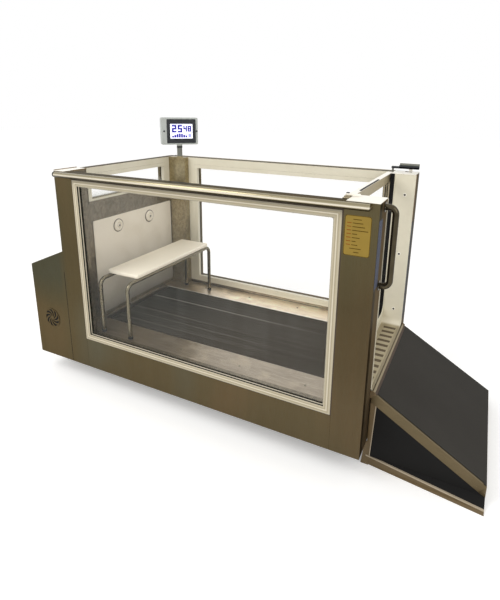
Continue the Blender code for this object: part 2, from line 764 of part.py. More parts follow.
def build_door():
    """The leaf and its glass, the long hinge and the latch."""
    pivot = (HINGE_X, DOOR_REAR, 0.0)
    outer = rectangle(DOOR_FRONT, DOOR_REAR, DOOR_BOTTOM, TANK_HEIGHT)
    edges = (DOOR_FRONT + DOOR_STILE, DOOR_REAR - DOOR_STILE,
             DOOR_BOTTOM + DOOR_BOTTOM_RAIL, TANK_HEIGHT - DOOR_TOP_RAIL)
    inner = rectangle(*edges)
    groove = rectangle(*edges, inset=-DOOR_GLASS_GROOVE)
    middle = (DOOR_INNER + DOOR_OUTER) / 2
    glass = (middle - GLASS_THICKNESS / 2, middle + GLASS_THICKNESS / 2)
    steps = (
        (outer, DOOR_INNER),
        (outer, DOOR_OUTER),
        (inner, DOOR_OUTER),
        (inner, glass[1] + GAP),
        (groove, glass[1] + GAP),
        (groove, glass[0] - GAP),
        (inner, glass[0] - GAP),
        (inner, DOOR_INNER),
    )
    bm = bmesh.new()
    add_loops(bm, [[lift(p, "x", depth) for p in corners] for corners, depth in steps])
    leaf = add_piece("door_leaf", bm, STEEL, pivot)

    length, width, height = LATCH_BASE
    turn = (middle, DOOR_FRONT + width / 2 + 0.005)
    bm = bmesh.new()
    outline = rounded_rectangle(turn[0] - length / 2, turn[0] + length / 2,
                                turn[1] - width / 2, turn[1] + width / 2, 0.006)
    add_prism(bm, outline, "z", TANK_HEIGHT - WELD, TANK_HEIGHT + height)
    weld(leaf, bm)

    bm = bmesh.new()
    low = TANK_HEIGHT + height + GAP
    half = LATCH_LEVER_WIDTH / 2
    outline = arc(turn, half, 90, 270, 6)
    outline += arc((turn[0] + LATCH_LEVER_LENGTH, turn[1]), half * 0.75, -90, 90, 6)
    add_prism(bm, outline, "z", low, low + LATCH_LEVER_THICKNESS)
    add_piece("latch_lever", bm, BLACK_RUBBER, (*turn, low))

    bm = bmesh.new()
    add_prism(bm, rectangle(*edges, inset=GAP - DOOR_GLASS_GROOVE), "x", *glass)
    add_piece("door_glass", bm, GLASS, pivot)

    low, high = HINGE_SPAN
    door_side = add_piece("door_hinge_leaf", hinge_leaf(False), STEEL, pivot)
    cut(door_side, hinge_notches(0))
    bore = bmesh.new()
    add_rod(bore, (*pivot[:2], low - 0.01), (*pivot[:2], high + 0.01), HINGE_PIN_RADIUS + 0.0005, "z", 12)
    cut(door_side, bore)
    post_side = add_piece("post_hinge_leaf", hinge_leaf(True), STEEL)
    cut(post_side, hinge_notches(1))
    pin = bmesh.new()
    add_rod(pin, (*pivot[:2], low - 0.002), (*pivot[:2], high + 0.002), HINGE_PIN_RADIUS, "z", 12)
    weld(post_side, pin)


def build_rails():
    """The two handrails, the grab handle by the door and the bar on the rear post."""
    away = RAIL_RADIUS + RAIL_STAND
    ends = (0.0, 0.002, 0.007)
    front = ("front_handrail", -away, -GAP)
    rear = ("rear_handrail", TANK_WIDTH + away, TANK_WIDTH + GAP)
    pad = PAD_SIZE[0] / 2
    high = (RAIL_HEIGHT - PAD_SIZE[1] / 2, RAIL_HEIGHT + PAD_SIZE[1] / 2)
    for name, y, face in (front, rear):
        path = [Vector((x, y, RAIL_HEIGHT)) for x in ends]
        path += [Vector((RAIL_END - x, y, RAIL_HEIGHT)) for x in reversed(ends)]
        bm = bmesh.new()
        add_pipe(bm, path, RAIL_RADIUS, 14, end_scale=(0.5, 0.8, 1.0))
        rail = add_piece(name, bm, STEEL)
        pads = bmesh.new()
        for x in (RAIL_END * 0.06, RAIL_END * 0.5, RAIL_END * 0.94):
            add_box(pads, (x - pad, x + pad), tuple(sorted((y, face))), high)
        weld(rail, pads)

    face = TANK_LENGTH + GAP
    far = TANK_LENGTH + HANDLE_STAND
    start = face + ROSETTE_THICKNESS / 2
    corners = ((start, HANDLE_TOP), (far, HANDLE_TOP), (far, HANDLE_BOTTOM), (start, HANDLE_BOTTOM))
    path = rounded_path([(x, HANDLE_INSET, z) for x, z in corners], HANDLE_BEND, 5)
    bm = bmesh.new()
    add_pipe(bm, path, HANDLE_RADIUS, 12)
    handle = add_piece("grab_handle", bm, STEEL)
    bm = bmesh.new()
    thick = ROSETTE_THICKNESS
    for z in (HANDLE_TOP, HANDLE_BOTTOM):
        profile = ((0, 0), (0, ROSETTE_RADIUS), (thick * 0.6, ROSETTE_RADIUS),
                   (thick, ROSETTE_RADIUS * 0.85), (thick, 0))
        add_lathe(bm, profile, (face, HANDLE_INSET, z), "x", 18)
    weld(handle, bm)

    length, width, height = REAR_BAR_BASE
    low = TANK_HEIGHT + GAP
    y = TANK_WIDTH - WALL / 2
    bm = bmesh.new()
    x = (TANK_LENGTH - length, TANK_LENGTH - SHEET)
    add_box(bm, x, (y - width / 2, y + width / 2), (low, low + height))
    bar = add_piece("rear_post_bar", bm, DARK_METAL)
    bm = bmesh.new()
    z = low + height + REAR_BAR_RADIUS * 0.7
    path = [Vector((TANK_LENGTH - REAR_BAR_LENGTH, y, z)), Vector((TANK_LENGTH, y, z))]
    add_pipe(bm, path, REAR_BAR_RADIUS, 10)
    weld(bar, bm)


def channel(bm, along, span, middle, z, width, wall=SHEET):
    """A channel section that is open underneath, running along X or Y."""
    half = width / 2
    outline = [
        (middle - half, z[0]),
        (middle - half, z[1]),
        (middle + half, z[1]),
        (middle + half, z[0]),
        (middle + half - wall, z[0]),
        (middle + half - wall, z[1] - wall),
        (middle - half + wall, z[1] - wall),
        (middle - half + wall, z[0]),
    ]
    add_prism(bm, outline, along, *span)


def build_base():
    """The welded base of channels and the levelling feet that carry everything."""
    z = (SHEET + GAP, SHEET + GAP + BASE_TUBE)
    far = TANK_WIDTH - BASE_RAIL_INSET
    bm = bmesh.new()
    channel(bm, "x", (WALL + GAP, DOOR_PLANE - GAP), BASE_RAIL_INSET, z, BASE_TUBE)
    base = add_piece("base_frame", bm, STEEL)
    bm = bmesh.new()
    for x in BASE_CROSS:
        channel(bm, "y", (INSIDE[0] + GAP, INSIDE[1] - GAP), x, (z[0], z[1] - WELD), BASE_TUBE)
    weld(base, bm)
    bm = bmesh.new()
    channel(bm, "x", (WALL + GAP, DOOR_PLANE - GAP), far, z, BASE_TUBE)
    weld(base, bm)

    places = [(x, y, z[1] - SHEET) for x in FOOT_PLACES for y in (BASE_RAIL_INSET, far)]
    places += [(-HOUSING_LENGTH / 2, y, TRAY_TOP - SHEET) for y in (BASE_RAIL_INSET, far)]
    radius = FOOT_PAD_RADIUS
    stem = FOOT_STEM_RADIUS
    for number, (x, y, top) in enumerate(places, start=1):
        high = FLOOR_CLEARANCE + top - GAP
        nut = FLOOR_CLEARANCE - 0.018
        profile = (
            (0, 0),
            (0, radius * 0.95),
            (0.004, radius),
            (0.010, radius),
            (FOOT_PAD_HEIGHT, radius * 0.45),
            (FOOT_PAD_HEIGHT, stem * 1.3),
            (FOOT_PAD_HEIGHT + 0.010, stem * 1.3),
            (FOOT_PAD_HEIGHT + 0.010, stem),
            (nut, stem),
            (nut, stem * 1.7),
            (nut + 0.012, stem * 1.7),
            (nut + 0.012, stem),
            (high, stem),
            (high, 0),
        )
        bm = bmesh.new()
        add_lathe(bm, profile, (x, y, -FLOOR_CLEARANCE), "z", 18)
        add_piece(f"levelling_foot_{number}", bm, STEEL)


def build_belt():
    """The belt frame with its bearings, the bed, the belt, two rollers and the deck round them."""
    web = (RAIL_WEB_Y, RAIL_WEB_Y + RAIL_WEB)
    top = DECK_HEIGHT - SHEET - GAP
    low = FLOOR_TOP + GAP
    ends = (WALL + 0.010, DOOR_PLANE - 0.010)
    side = [
        (web[1], low),
        (web[1], top),
        (web[1] - RAIL_FLANGE, top),
        (web[1] - RAIL_FLANGE, top - RAIL_WEB),
        (web[0], top - RAIL_WEB),
        (web[0], low + RAIL_WEB),
        (web[1] - RAIL_FLANGE, low + RAIL_WEB),
        (web[1] - RAIL_FLANGE, low),
    ]
    bm = bmesh.new()
    add_prism(bm, side, "x", *ends)
    frame = add_piece("belt_frame", bm, STEEL)
    bed_low = top - BED_THICKNESS
    bm = bmesh.new()
    for x in BED_CROSS:
        z = (bed_low - GAP - BED_TUBE, bed_low - GAP)
        channel(bm, "y", (web[1] - WELD, TANK_WIDTH - web[1] + WELD), x, z, BED_TUBE)
    weld(frame, bm)
    bm = bmesh.new()
    add_prism(bm, [(TANK_WIDTH - y, z) for y, z in side], "x", *ends)
    weld(frame, bm)

    bearing = (web[0] + WELD - BEARING_WIDTH, web[0] + WELD)
    half = BEARING_SIZE / 2
    blocks = bmesh.new()
    bores = bmesh.new()
    for x in (ROLLER_LEFT, ROLLER_RIGHT):
        z = (ROLLER_HEIGHT - half, ROLLER_HEIGHT + half)
        outline = rounded_rectangle(x - half, x + half, *z, half * 0.6, 3)
        for y in (bearing, mirror_y(bearing)):
            add_prism(blocks, outline, "y", *y)
            start = (x, y[0] - SHEET - WELD, ROLLER_HEIGHT)
            end = (x, y[1] + SHEET + WELD, ROLLER_HEIGHT)
            add_rod(bores, start, end, SHAFT_RADIUS + 0.0008, "y", 20)
    weld(frame, blocks)
    cut(frame, bores)

    inset = RUN_GAP / 2
    bm = bmesh.new()
    reach = ROLLER_RADIUS * 1.1
    y = (BELT_SIDES[0] + inset, BELT_SIDES[1] - inset)
    add_box(bm, (ROLLER_LEFT + reach, ROLLER_RIGHT - reach), y, (bed_low, top))
    add_piece("belt_bed", bm, GREY_PLASTIC)

    loops = []
    for radius in (BELT_RADIUS, BELT_RADIUS - BELT_THICKNESS):
        outline = arc((ROLLER_RIGHT, ROLLER_HEIGHT), radius, -90, 90, 18)
        outline += arc((ROLLER_LEFT, ROLLER_HEIGHT), radius, 90, 270, 18)
        loops.append(outline)
    bm = bmesh.new()
    add_ring(bm, *loops, "y", *BELT_SIDES)
    add_piece("running_belt", bm, GREY_RUBBER)

    face = (BELT_SIDES[0] + RUN_GAP, BELT_SIDES[1] - RUN_GAP)
    roller = [
        (bearing[0] - 0.002, 0),
        (bearing[0] - 0.002, SHAFT_RADIUS),
        (face[0], SHAFT_RADIUS),
        (face[0], ROLLER_RADIUS - ROLLER_CROWN),
        (TANK_WIDTH / 2, ROLLER_RADIUS),
        (face[1], ROLLER_RADIUS - ROLLER_CROWN),
        (face[1], SHAFT_RADIUS),
    ]
    middle = PULLEY_Y + PULLEY_WIDTH / 2
    pulley = [(middle + along, radius) for along, radius in pulley_section(PULLEY_RADIUS, SHAFT_RADIUS)]
    drive_end = PULLEY_Y + PULLEY_WIDTH + 0.002
    idler_end = TANK_WIDTH - bearing[0] + 0.002
    driven = roller + pulley + [(drive_end, SHAFT_RADIUS), (drive_end, 0)]
    idling = roller + [(idler_end, SHAFT_RADIUS), (idler_end, 0)]
    for name, x, profile in (("drive_roller", ROLLER_LEFT, driven), ("idler_roller", ROLLER_RIGHT, idling)):
        bm = bmesh.new()
        add_lathe(bm, profile, (x, 0, ROLLER_HEIGHT), "y", 24)
        add_piece(name, bm, DARK_METAL, pivot=(x, TANK_WIDTH / 2, ROLLER_HEIGHT))

    margin = SHEET + GAP
    edge = (WALL + 2 * GAP, DOOR_PLANE - GAP, INSIDE[0] + margin, INSIDE[1] - margin)
    hole = (ROLLER_LEFT - BELT_RADIUS - RUN_GAP, ROLLER_RIGHT + BELT_RADIUS + RUN_GAP,
            DECK_EDGE, TANK_WIDTH - DECK_EDGE)
    z = (DECK_HEIGHT - DECK_DEPTH, DECK_HEIGHT - SHEET, DECK_HEIGHT)
    steps = (
        (rectangle(*edge), z[0]),
        (rectangle(*edge), z[2]),
        (rectangle(*hole), z[2]),
        (rectangle(*hole), z[0]),
        (rectangle(*hole, inset=-SHEET), z[0]),
        (rectangle(*hole, inset=-SHEET), z[1]),
        (rectangle(*edge, inset=SHEET), z[1]),
        (rectangle(*edge, inset=SHEET), z[0]),
    )
    bm = bmesh.new()
    add_loops(bm, [[lift(p, "z", depth) for p in corners] for corners, depth in steps])
    add_piece("deck_surround", bm, STEEL)


def pulley_section(radius, shaft):
    """A vee pulley on a shaft, as (along, radius) pairs about its own middle."""
    half = PULLEY_WIDTH / 2
    groove = DRIVE_BELT_WIDTH / 2 + 2 * GAP
    rim = radius + PULLEY_FLANGE
    return [(-half, shaft), (-half, rim), (-groove - 0.001, rim), (-groove, radius), (groove, radius),
            (groove + 0.001, rim), (half, rim), (half, shaft)]


def build_drive():
    """The motor with its drive box in the housing, and the vee belt to the roller."""
    x, z = MOTOR_PLACE
    middle = PULLEY_Y + PULLEY_WIDTH / 2
    face = TANK_WIDTH - WALL - 0.010
    start = face - MOTOR_LENGTH
    bm = bmesh.new()
    profile = [(face + GAP, 0), (face + GAP, MOTOR_SHAFT_RADIUS)]
    profile += [(middle + along, radius) for along, radius in
                pulley_section(MOTOR_PULLEY_RADIUS, MOTOR_SHAFT_RADIUS)]
    end = middle + PULLEY_WIDTH / 2 + 0.002
    profile += [(end, MOTOR_SHAFT_RADIUS), (end, 0)]
    add_lathe(bm, profile, (x, 0, z), "y", 20)
    add_piece("motor_pulley", bm, DARK_METAL, pivot=(x, middle, z))

    radius = MOTOR_RADIUS
    profile = ((start, 0), (start, radius * 0.8), (start + 0.03, radius), (face - 0.02, radius),
               (face - 0.02, radius * 0.8), (face, radius * 0.8), (face, 0))
    bm = bmesh.new()
    add_lathe(bm, profile, (x, 0, z), "y", 24)
    motor = add_piece("drive_motor", bm, DARK_METAL)
    bm = bmesh.new()
    add_box(bm, (x - 0.06, x + 0.06), (start + 0.05, face - 0.05), (TRAY_TOP + GAP, z - radius * 0.9))
    length, width, height = DRIVE_BOX
    rear = face - 0.05
    top = (z + radius * 0.9, z + radius + height)
    add_box(bm, (x - length / 2, x + length / 2), (rear - width, rear), top)
    weld(motor, bm)

    reach = ROLLER_LEFT - x
    lean = math.degrees(math.asin((PULLEY_RADIUS - MOTOR_PULLEY_RADIUS) / reach))
    loops = []
    for extra in (2 * GAP + DRIVE_BELT_THICKNESS, 2 * GAP):
        outline = arc((ROLLER_LEFT, ROLLER_HEIGHT), PULLEY_RADIUS + extra, -90 - lean, 90 + lean, 12)
        outline += arc((x, z), MOTOR_PULLEY_RADIUS + extra, 90 + lean, 270 - lean, 8)
        loops.append(outline)
    half = DRIVE_BELT_WIDTH / 2
    bm = bmesh.new()
    add_ring(bm, *loops, "y", middle - half, middle + half)
    add_piece("drive_belt", bm, BLACK_RUBBER)


def housing_top(x):
    """Height of the housing's sloping top at a place along X."""
    share = (x + HOUSING_LENGTH) / HOUSING_LENGTH
    return HOUSING_LOW + (HOUSING_HIGH - HOUSING_LOW) * share


def build_housing():
    """The sheet shell with its floor tray, the sloping lid and the louvred vent."""
    left = -HOUSING_LENGTH
    right = -GAP
    outline = [
        (left, 0.0),
        (right, 0.0),
        (right, SHEET),
        (left + SHEET, SHEET),
        (left + SHEET, TANK_WIDTH - SHEET),
        (right, TANK_WIDTH - SHEET),
        (right, TANK_WIDTH),
        (left, TANK_WIDTH),
    ]
    bottom = [(x, y, 0.0) for x, y in outline]
    top = [(x, y, housing_top(x) - SHEET - GAP) for x, y in outline]
    bm = bmesh.new()
    add_loops(bm, [bottom, top], closed=False)
    shell = add_piece("housing_shell", bm, STEEL)
    bm = bmesh.new()
    inner = SHEET / 2
    add_open_box(bm, (left + inner, right - GAP), (inner, TANK_WIDTH - inner), (inner, TRAY_TOP))
    weld(shell, bm)
    x, z = VENT_PLACE
    hole = bmesh.new()
    add_rod(hole, (x, -0.01, z), (x, 3 * SHEET, z), VENT_RADIUS - 0.004, "y", 28)
    cut(shell, hole)

    edges = [(left, housing_top(left) - SHEET), (right, housing_top(right) - SHEET),
             (right, housing_top(right)), (left, housing_top(left))]
    bm = bmesh.new()
    add_prism(bm, edges, "y", 0.0, TANK_WIDTH)
    add_piece("housing_lid", bm, STEEL)

    rim = VENT_RADIUS
    front = -0.004
    back = SHEET + 0.004
    profile = ((front, 0), (front, rim - 0.004), (front + 0.002, rim), (-GAP, rim), (-GAP, rim - 0.006),
               (back, rim - 0.006), (back, 0))
    bm = bmesh.new()
    add_lathe(bm, profile, (x, 0, z), "y", 28)
    grille = add_piece("vent_grille", bm, WHITE_PLASTIC)
    slots = bmesh.new()
    pitch = 2 * (rim - 0.014) / VENT_SLATS
    for n in range(VENT_SLATS):
        height = z + pitch * (n + 0.5 - VENT_SLATS / 2)
        half = math.sqrt((rim - 0.012) ** 2 - (abs(height - z) + pitch * 0.3) ** 2)
        rise = pitch * 0.28
        slant = pitch * 0.45
        section = [(2 * front, height - rise - slant), (2 * front, height + rise - slant),
                   (2 * back, height + rise + slant), (2 * back, height - rise + slant)]
        add_prism(slots, [(depth, level) for depth, level in section], "x", x - half, x + half)
    cut(grille, slots)


def build_water_circuit():
    """The pump with its pipes, the filter, the riser to the jets and the drain valve."""
    px, pz = PUMP_PLACE
    fx, fy = FILTER_PLACE
    start = PUMP_FRONT + PUMP_WIDTH
    end = start + PUMP_MOTOR_LENGTH
    radius = PUMP_MOTOR_RADIUS
    profile = ((PUMP_FRONT, 0), (PUMP_FRONT, PUMP_RADIUS * 0.85), (PUMP_FRONT + 0.012, PUMP_RADIUS),
               (start, PUMP_RADIUS), (start, radius * 0.8), (start + 0.02, radius), (end - 0.03, radius),
               (end, radius * 0.85), (end, 0))
    bm = bmesh.new()
    add_lathe(bm, profile, (px, 0, pz), "y", 20)
    pump = add_piece("circulation_pump", bm, DARK_METAL)
    rise_y = PUMP_FRONT + PUMP_WIDTH / 2
    inlet_y = fy + FILTER_RADIUS + GAP
    bm = bmesh.new()
    add_box(bm, (px - 0.045, px + 0.045), (start + 0.04, end - 0.05), (TRAY_TOP + GAP, pz - radius * 0.9))
    suction = [(WALL + 0.010, SUCTION_Y, pz), (px, SUCTION_Y, pz), (px, PUMP_FRONT + 0.005, pz)]
    add_pipe(bm, rounded_path(suction, PIPE_BEND), PIPE_RADIUS, 12)
    feed = [(px, rise_y, pz + PUMP_RADIUS * 0.8), (px, rise_y, FILTER_INLET), (px, inlet_y, FILTER_INLET)]
    add_pipe(bm, rounded_path(feed, PIPE_BEND), PIPE_RADIUS, 12)
    weld(pump, bm)

    low = TRAY_TOP + GAP
    radius = FILTER_RADIUS
    neck = FILTER_TOP - 0.03
    profile = ((low, 0), (low, radius * 0.85), (low + 0.03, radius), (neck, radius),
               (neck, radius + 0.006), (neck + 0.02, radius + 0.006), (neck + 0.045, radius * 0.6),
               (neck + 0.06, radius * 0.25), (neck + 0.06, 0))
    bm = bmesh.new()
    add_lathe(bm, profile, (fx, fy, 0), "z", 24)
    add_piece("filter_canister", bm, GREY_PLASTIC)

    mx = SHEET + 0.002 + MANIFOLD_RADIUS
    riser = [
        (px, inlet_y, FILTER_OUTLET),
        (px, RISER_Y, FILTER_OUTLET),
        (mx, RISER_Y, FILTER_OUTLET),
        (mx, RISER_Y, JET_HEIGHT),
        (mx, JET_PLACES[0] - 0.03, JET_HEIGHT),
    ]
    bm = bmesh.new()
    add_pipe(bm, rounded_path(riser, MANIFOLD_RADIUS * 1.25), MANIFOLD_RADIUS, 12)
    add_piece("jet_riser", bm, GREY_PLASTIC)

    x, y = DRAIN_PLACE
    front = DRAIN_VALVE_FRONT
    rear = front + DRAIN_VALVE_LENGTH
    radius = DRAIN_VALVE_RADIUS
    pipe = DRAIN_PIPE_RADIUS
    route = [(x, y, FLOOR_TOP), (x, y, -DRAIN_DEPTH), (x, front + 0.005, -DRAIN_DEPTH)]
    bm = bmesh.new()
    add_pipe(bm, rounded_path(route, PIPE_BEND), pipe, 12)
    valve = add_piece("drain_valve", bm, GREY_PLASTIC)
    profile = ((front, 0), (front, radius * 0.8), (front + 0.012, radius), (rear - 0.012, radius),
               (rear, radius * 0.8), (rear, pipe), (rear + DRAIN_TAIL, pipe), (rear + DRAIN_TAIL, 0))
    bm = bmesh.new()
    add_lathe(bm, profile, (x, 0, -DRAIN_DEPTH), "y", 16)
    weld(valve, bm)

    turn = (x, (front + rear) / 2)
    high = -DRAIN_DEPTH - radius - GAP
    low = high - 0.006
    bm = bmesh.new()
    outline = arc(turn, 0.011, 90, 270, 6)
    outline += arc((x + DRAIN_LEVER_LENGTH, turn[1]), 0.008, -90, 90, 4)
    add_prism(bm, outline, "z", low, high)
    add_piece("drain_lever", bm, DARK_METAL, pivot=(*turn, high))


def build_display():
    """The corner column with its pole, and the display that swivels on it."""
    rear = INSIDE[1] - GAP
    y = rear - COLUMN_DEPTH / 2
    start = WALL + GAP
    bm = bmesh.new()
    z = (DECK_HEIGHT + GAP, TANK_HEIGHT)
    add_open_box(bm, (start, start + COLUMN_WIDTH), (rear - COLUMN_DEPTH, rear), z)
    pole = add_piece("display_pole", bm, STEEL)
    low = TANK_HEIGHT
    top = low + POLE_HEIGHT
    foot = POLE_RADIUS + 0.006
    profile = ((low - WELD, 0), (low - WELD, foot), (low + 0.006, foot), (low + 0.008, POLE_RADIUS),
               (top, POLE_RADIUS), (top, 0))
    bm = bmesh.new()
    add_lathe(bm, profile, (POLE_X, y, 0), "z", 20)
    weld(pole, bm)

    width, depth, height = DISPLAY_SIZE
    pivot = (POLE_X, y, top)
    turn = Matrix.Translation(Vector((POLE_X, y, 0))) @ Matrix.Rotation(math.radians(DISPLAY_TURN), 4, "Z")
    bottom = DISPLAY_BOTTOM
    face = -depth / 2
    bm = bmesh.new()
    outline = rounded_rectangle(-width / 2, width / 2, bottom, bottom + height, 0.010)
    add_prism(bm, outline, "y", face, -face)
    bm.transform(turn)
    housing = add_piece("display_housing", bm, GREY_PLASTIC, pivot)
    collar = POLE_RADIUS * 1.12
    profile = ((top + GAP, 0), (top + GAP, collar), (bottom + WELD, collar), (bottom + WELD, 0))
    bm = bmesh.new()
    add_lathe(bm, profile, (POLE_X, y, 0), "z", 20)
    weld(housing, bm)

    wide, tall = BEZEL_SIZE
    middle = (BEZEL_SHIFT, bottom + height / 2)
    outline = rounded_rectangle(middle[0] - wide / 2, middle[0] + wide / 2,
                                middle[1] - tall / 2, middle[1] + tall / 2, 0.005)
    front = face - GAP - BEZEL_THICKNESS
    bm = bmesh.new()
    add_prism(bm, outline, "y", front, face - GAP)
    bm.transform(turn)
    add_piece("display_bezel", bm, BLACK_RUBBER, pivot)

    wide, tall = SCREEN_SIZE
    bm = bmesh.new()
    add_box(bm, (middle[0] - wide / 2, middle[0] + wide / 2), (front - GAP - SCREEN_THICKNESS, front - GAP),
            (middle[1] - tall / 2, middle[1] + tall / 2))
    bm.transform(turn)
    add_piece("display_screen", bm, GLASS, pivot)


def build_bench():
    """A seat board on two tube hoops, standing on the side decks."""
    low = DECK_HEIGHT + GAP
    high = BENCH_HEIGHT - BENCH_TUBE_RADIUS
    front, rear = BENCH_SPAN
    pivot = (sum(BENCH_TUBES) / 2, TANK_WIDTH / 2, low)

    def hoop(x):
        """One tube bent to an upturned U."""
        start = low + 0.005
        corners = ((x, front, start), (x, front, high), (x, rear, high), (x, rear, start))
        path = rounded_path(corners, BENCH_BEND, 5)
        bm = bmesh.new()
        add_pipe(bm, path, BENCH_TUBE_RADIUS, 12)
        return bm

    frame = add_piece("bench_frame", hoop(BENCH_TUBES[0]), STEEL, pivot)
    bars = bmesh.new()
    for y in BENCH_BARS:
        add_rod(bars, (BENCH_TUBES[0], y, high), (BENCH_TUBES[1], y, high), BENCH_BAR_RADIUS, "x", 10)
    weld(frame, bars)
    weld(frame, hoop(BENCH_TUBES[1]))
    feet = bmesh.new()
    foot = BENCH_FOOT_RADIUS
    profile = ((0, 0), (0, foot), (BENCH_FOOT_HEIGHT, foot * 0.85), (BENCH_FOOT_HEIGHT, 0))
    for x in BENCH_TUBES:
        for y in BENCH_SPAN:
            add_lathe(feet, profile, (x, y, low), "z", 14)
    weld(frame, feet)

    seat = (BENCH_TUBES[0] - SEAT_OVERHANG, BENCH_TUBES[1] + SEAT_OVERHANG)
    z = (BENCH_HEIGHT + GAP, BENCH_HEIGHT + GAP + SEAT_THICKNESS)
    bm = bmesh.new()
    add_prism(bm, rounded_rectangle(*seat, *SEAT_SPAN, 0.012, 4), "z", *z)
    board = add_piece("bench_seat", bm, WHITE_PLASTIC, pivot)
    round_edges(board, 0.007)


def ramp_edge(x):
    """Height of the ramp's upper edge at a place along X."""
    start = TANK_LENGTH + LINER_REACH
    slope = (RAMP_TOP + FLOOR_CLEARANCE - RAMP_OUTER_HEIGHT) / (TANK_LENGTH + RAMP_REACH - start)
    return RAMP_TOP - slope * (x - start)


def build_ramp():
    """A folding deck with side flanges over a fixed frame with closed sides."""
    pivot = (TANK_LENGTH + RAMP_PIVOT[0], TANK_WIDTH / 2, RAMP_PIVOT[1])
    sides = (RAMP_INSET, TANK_WIDTH - RAMP_INSET)
    start = TANK_LENGTH + RAMP_END_GAP
    end = TANK_LENGTH + RAMP_REACH
    slope = math.atan2(ramp_edge(start) - ramp_edge(end), end - start)
    down = RAMP_FLANGE / math.cos(slope)
    lean = (RAMP_FLANGE * math.sin(slope), RAMP_FLANGE * math.cos(slope))
    outline = [
        (start, ramp_edge(start)),
        (end, ramp_edge(end)),
        (end - lean[0], ramp_edge(end) - lean[1]),
        (start, ramp_edge(start) - down),
    ]
    bm = bmesh.new()
    add_prism(bm, outline, "y", *sides)
    deck = add_piece("ramp_deck", bm, STEEL, pivot)
    drop = SHEET / math.cos(slope)
    before = start - WALL
    inner = end - drop
    cavity = [
        (before, ramp_edge(before) - drop),
        (inner, ramp_edge(inner) - drop),
        (inner - 2 * lean[0], ramp_edge(inner) - drop - 2 * lean[1]),
        (before, ramp_edge(before) - 3 * down),
    ]
    bm = bmesh.new()
    add_prism(bm, cavity, "y", sides[0] + SHEET, sides[1] - SHEET)
    cut(deck, bm)
    bores = bmesh.new()
    for y in (sides[0], sides[1] - SHEET):
        add_rod(bores, (pivot[0], y - WELD, pivot[2]), (pivot[0], y + SHEET + WELD, pivot[2]),
                RAMP_PIN_RADIUS + 0.0006, "y", 12)
    cut(deck, bores)

    margin = RAMP_MAT_MARGIN
    rise = GAP / math.cos(slope)
    top = (GAP + RAMP_MAT_THICKNESS) / math.cos(slope)
    x = (start + 2 * margin, end - margin)
    mat = [(x[0], ramp_edge(x[0]) + rise), (x[1], ramp_edge(x[1]) + rise),
           (x[1], ramp_edge(x[1]) + top), (x[0], ramp_edge(x[0]) + top)]
    bm = bmesh.new()
    add_prism(bm, mat, "y", sides[0] + margin, sides[1] - margin)
    add_piece("ramp_mat", bm, GREY_RUBBER, pivot)

    ground = -FLOOR_CLEARANCE
    tube = RAMP_TUBE
    rail_top = ground + tube
    left = TANK_LENGTH + LINER_REACH + 2 * GAP
    right = end - 0.002
    post = (right - 2.4 * tube, right - 1.4 * tube)
    side = (sides[0] + SHEET + GAP, sides[0] + SHEET + GAP + tube)
    across = (side[0], TANK_WIDTH - side[0])
    bm = bmesh.new()
    add_box(bm, (left, left + tube), across, (ground, rail_top))
    frame = add_piece("ramp_frame", bm, STEEL)
    rails = bmesh.new()
    uprights = bmesh.new()
    panels = bmesh.new()
    half = RAMP_PANEL_THICKNESS / 2
    for y in (side, mirror_y(side)):
        add_box(rails, (left + tube / 2, right), (y[0] + GAP, y[1] - GAP), (ground, rail_top - GAP))
        add_box(uprights, (left + GAP, left + tube - GAP), (y[0] + GAP, y[1] - GAP),
                (ground + GAP, ramp_edge(left + tube) - 4 * SHEET))
        prop = [(post[0], rail_top - WELD), (post[1], rail_top - WELD),
                (post[1], ramp_edge(post[1]) - drop - GAP), (post[0], ramp_edge(post[0]) - drop - GAP)]
        add_prism(uprights, prop, "y", y[0] + 2 * GAP, y[1] - 2 * GAP)
        middle = sum(y) / 2
        near, far = left + tube / 2, post[0] + WELD
        panel = [(near, rail_top - WELD), (far, rail_top - WELD),
                 (far, ramp_edge(far) - 2 * drop), (near, ramp_edge(near) - 5 * SHEET)]
        add_prism(panels, panel, "y", middle - half, middle + half)
    weld(frame, rails)
    weld(frame, uprights)
    weld(frame, panels)
    bm = bmesh.new()
    across = (across[0] + 2 * GAP, across[1] - 2 * GAP)
    add_box(bm, (right - tube, right - GAP), across, (ground + GAP, rail_top - 2 * GAP))
    weld(frame, bm)


def build():
    """The whole treadmill."""
    clear_scene()
    build_walls()
    build_lining()
    build_jets()
    build_doorway()
    build_door()
    build_rails()
    build_base()
    build_belt()
    build_drive()
    build_housing()
    build_water_circuit()
    build_display()
    build_bench()
    build_ramp()


build()
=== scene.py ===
"""Looks for the dog underwater treadmill: finishes, trims, fastenings, display and stage.

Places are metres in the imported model's frame. spot() takes them from the tank's
own corner: X from its left end, Y from its front face, Z from its bottom edge.
"""

import functools
import json
import math

import bmesh
import bpy
from mathutils import Matrix, Vector

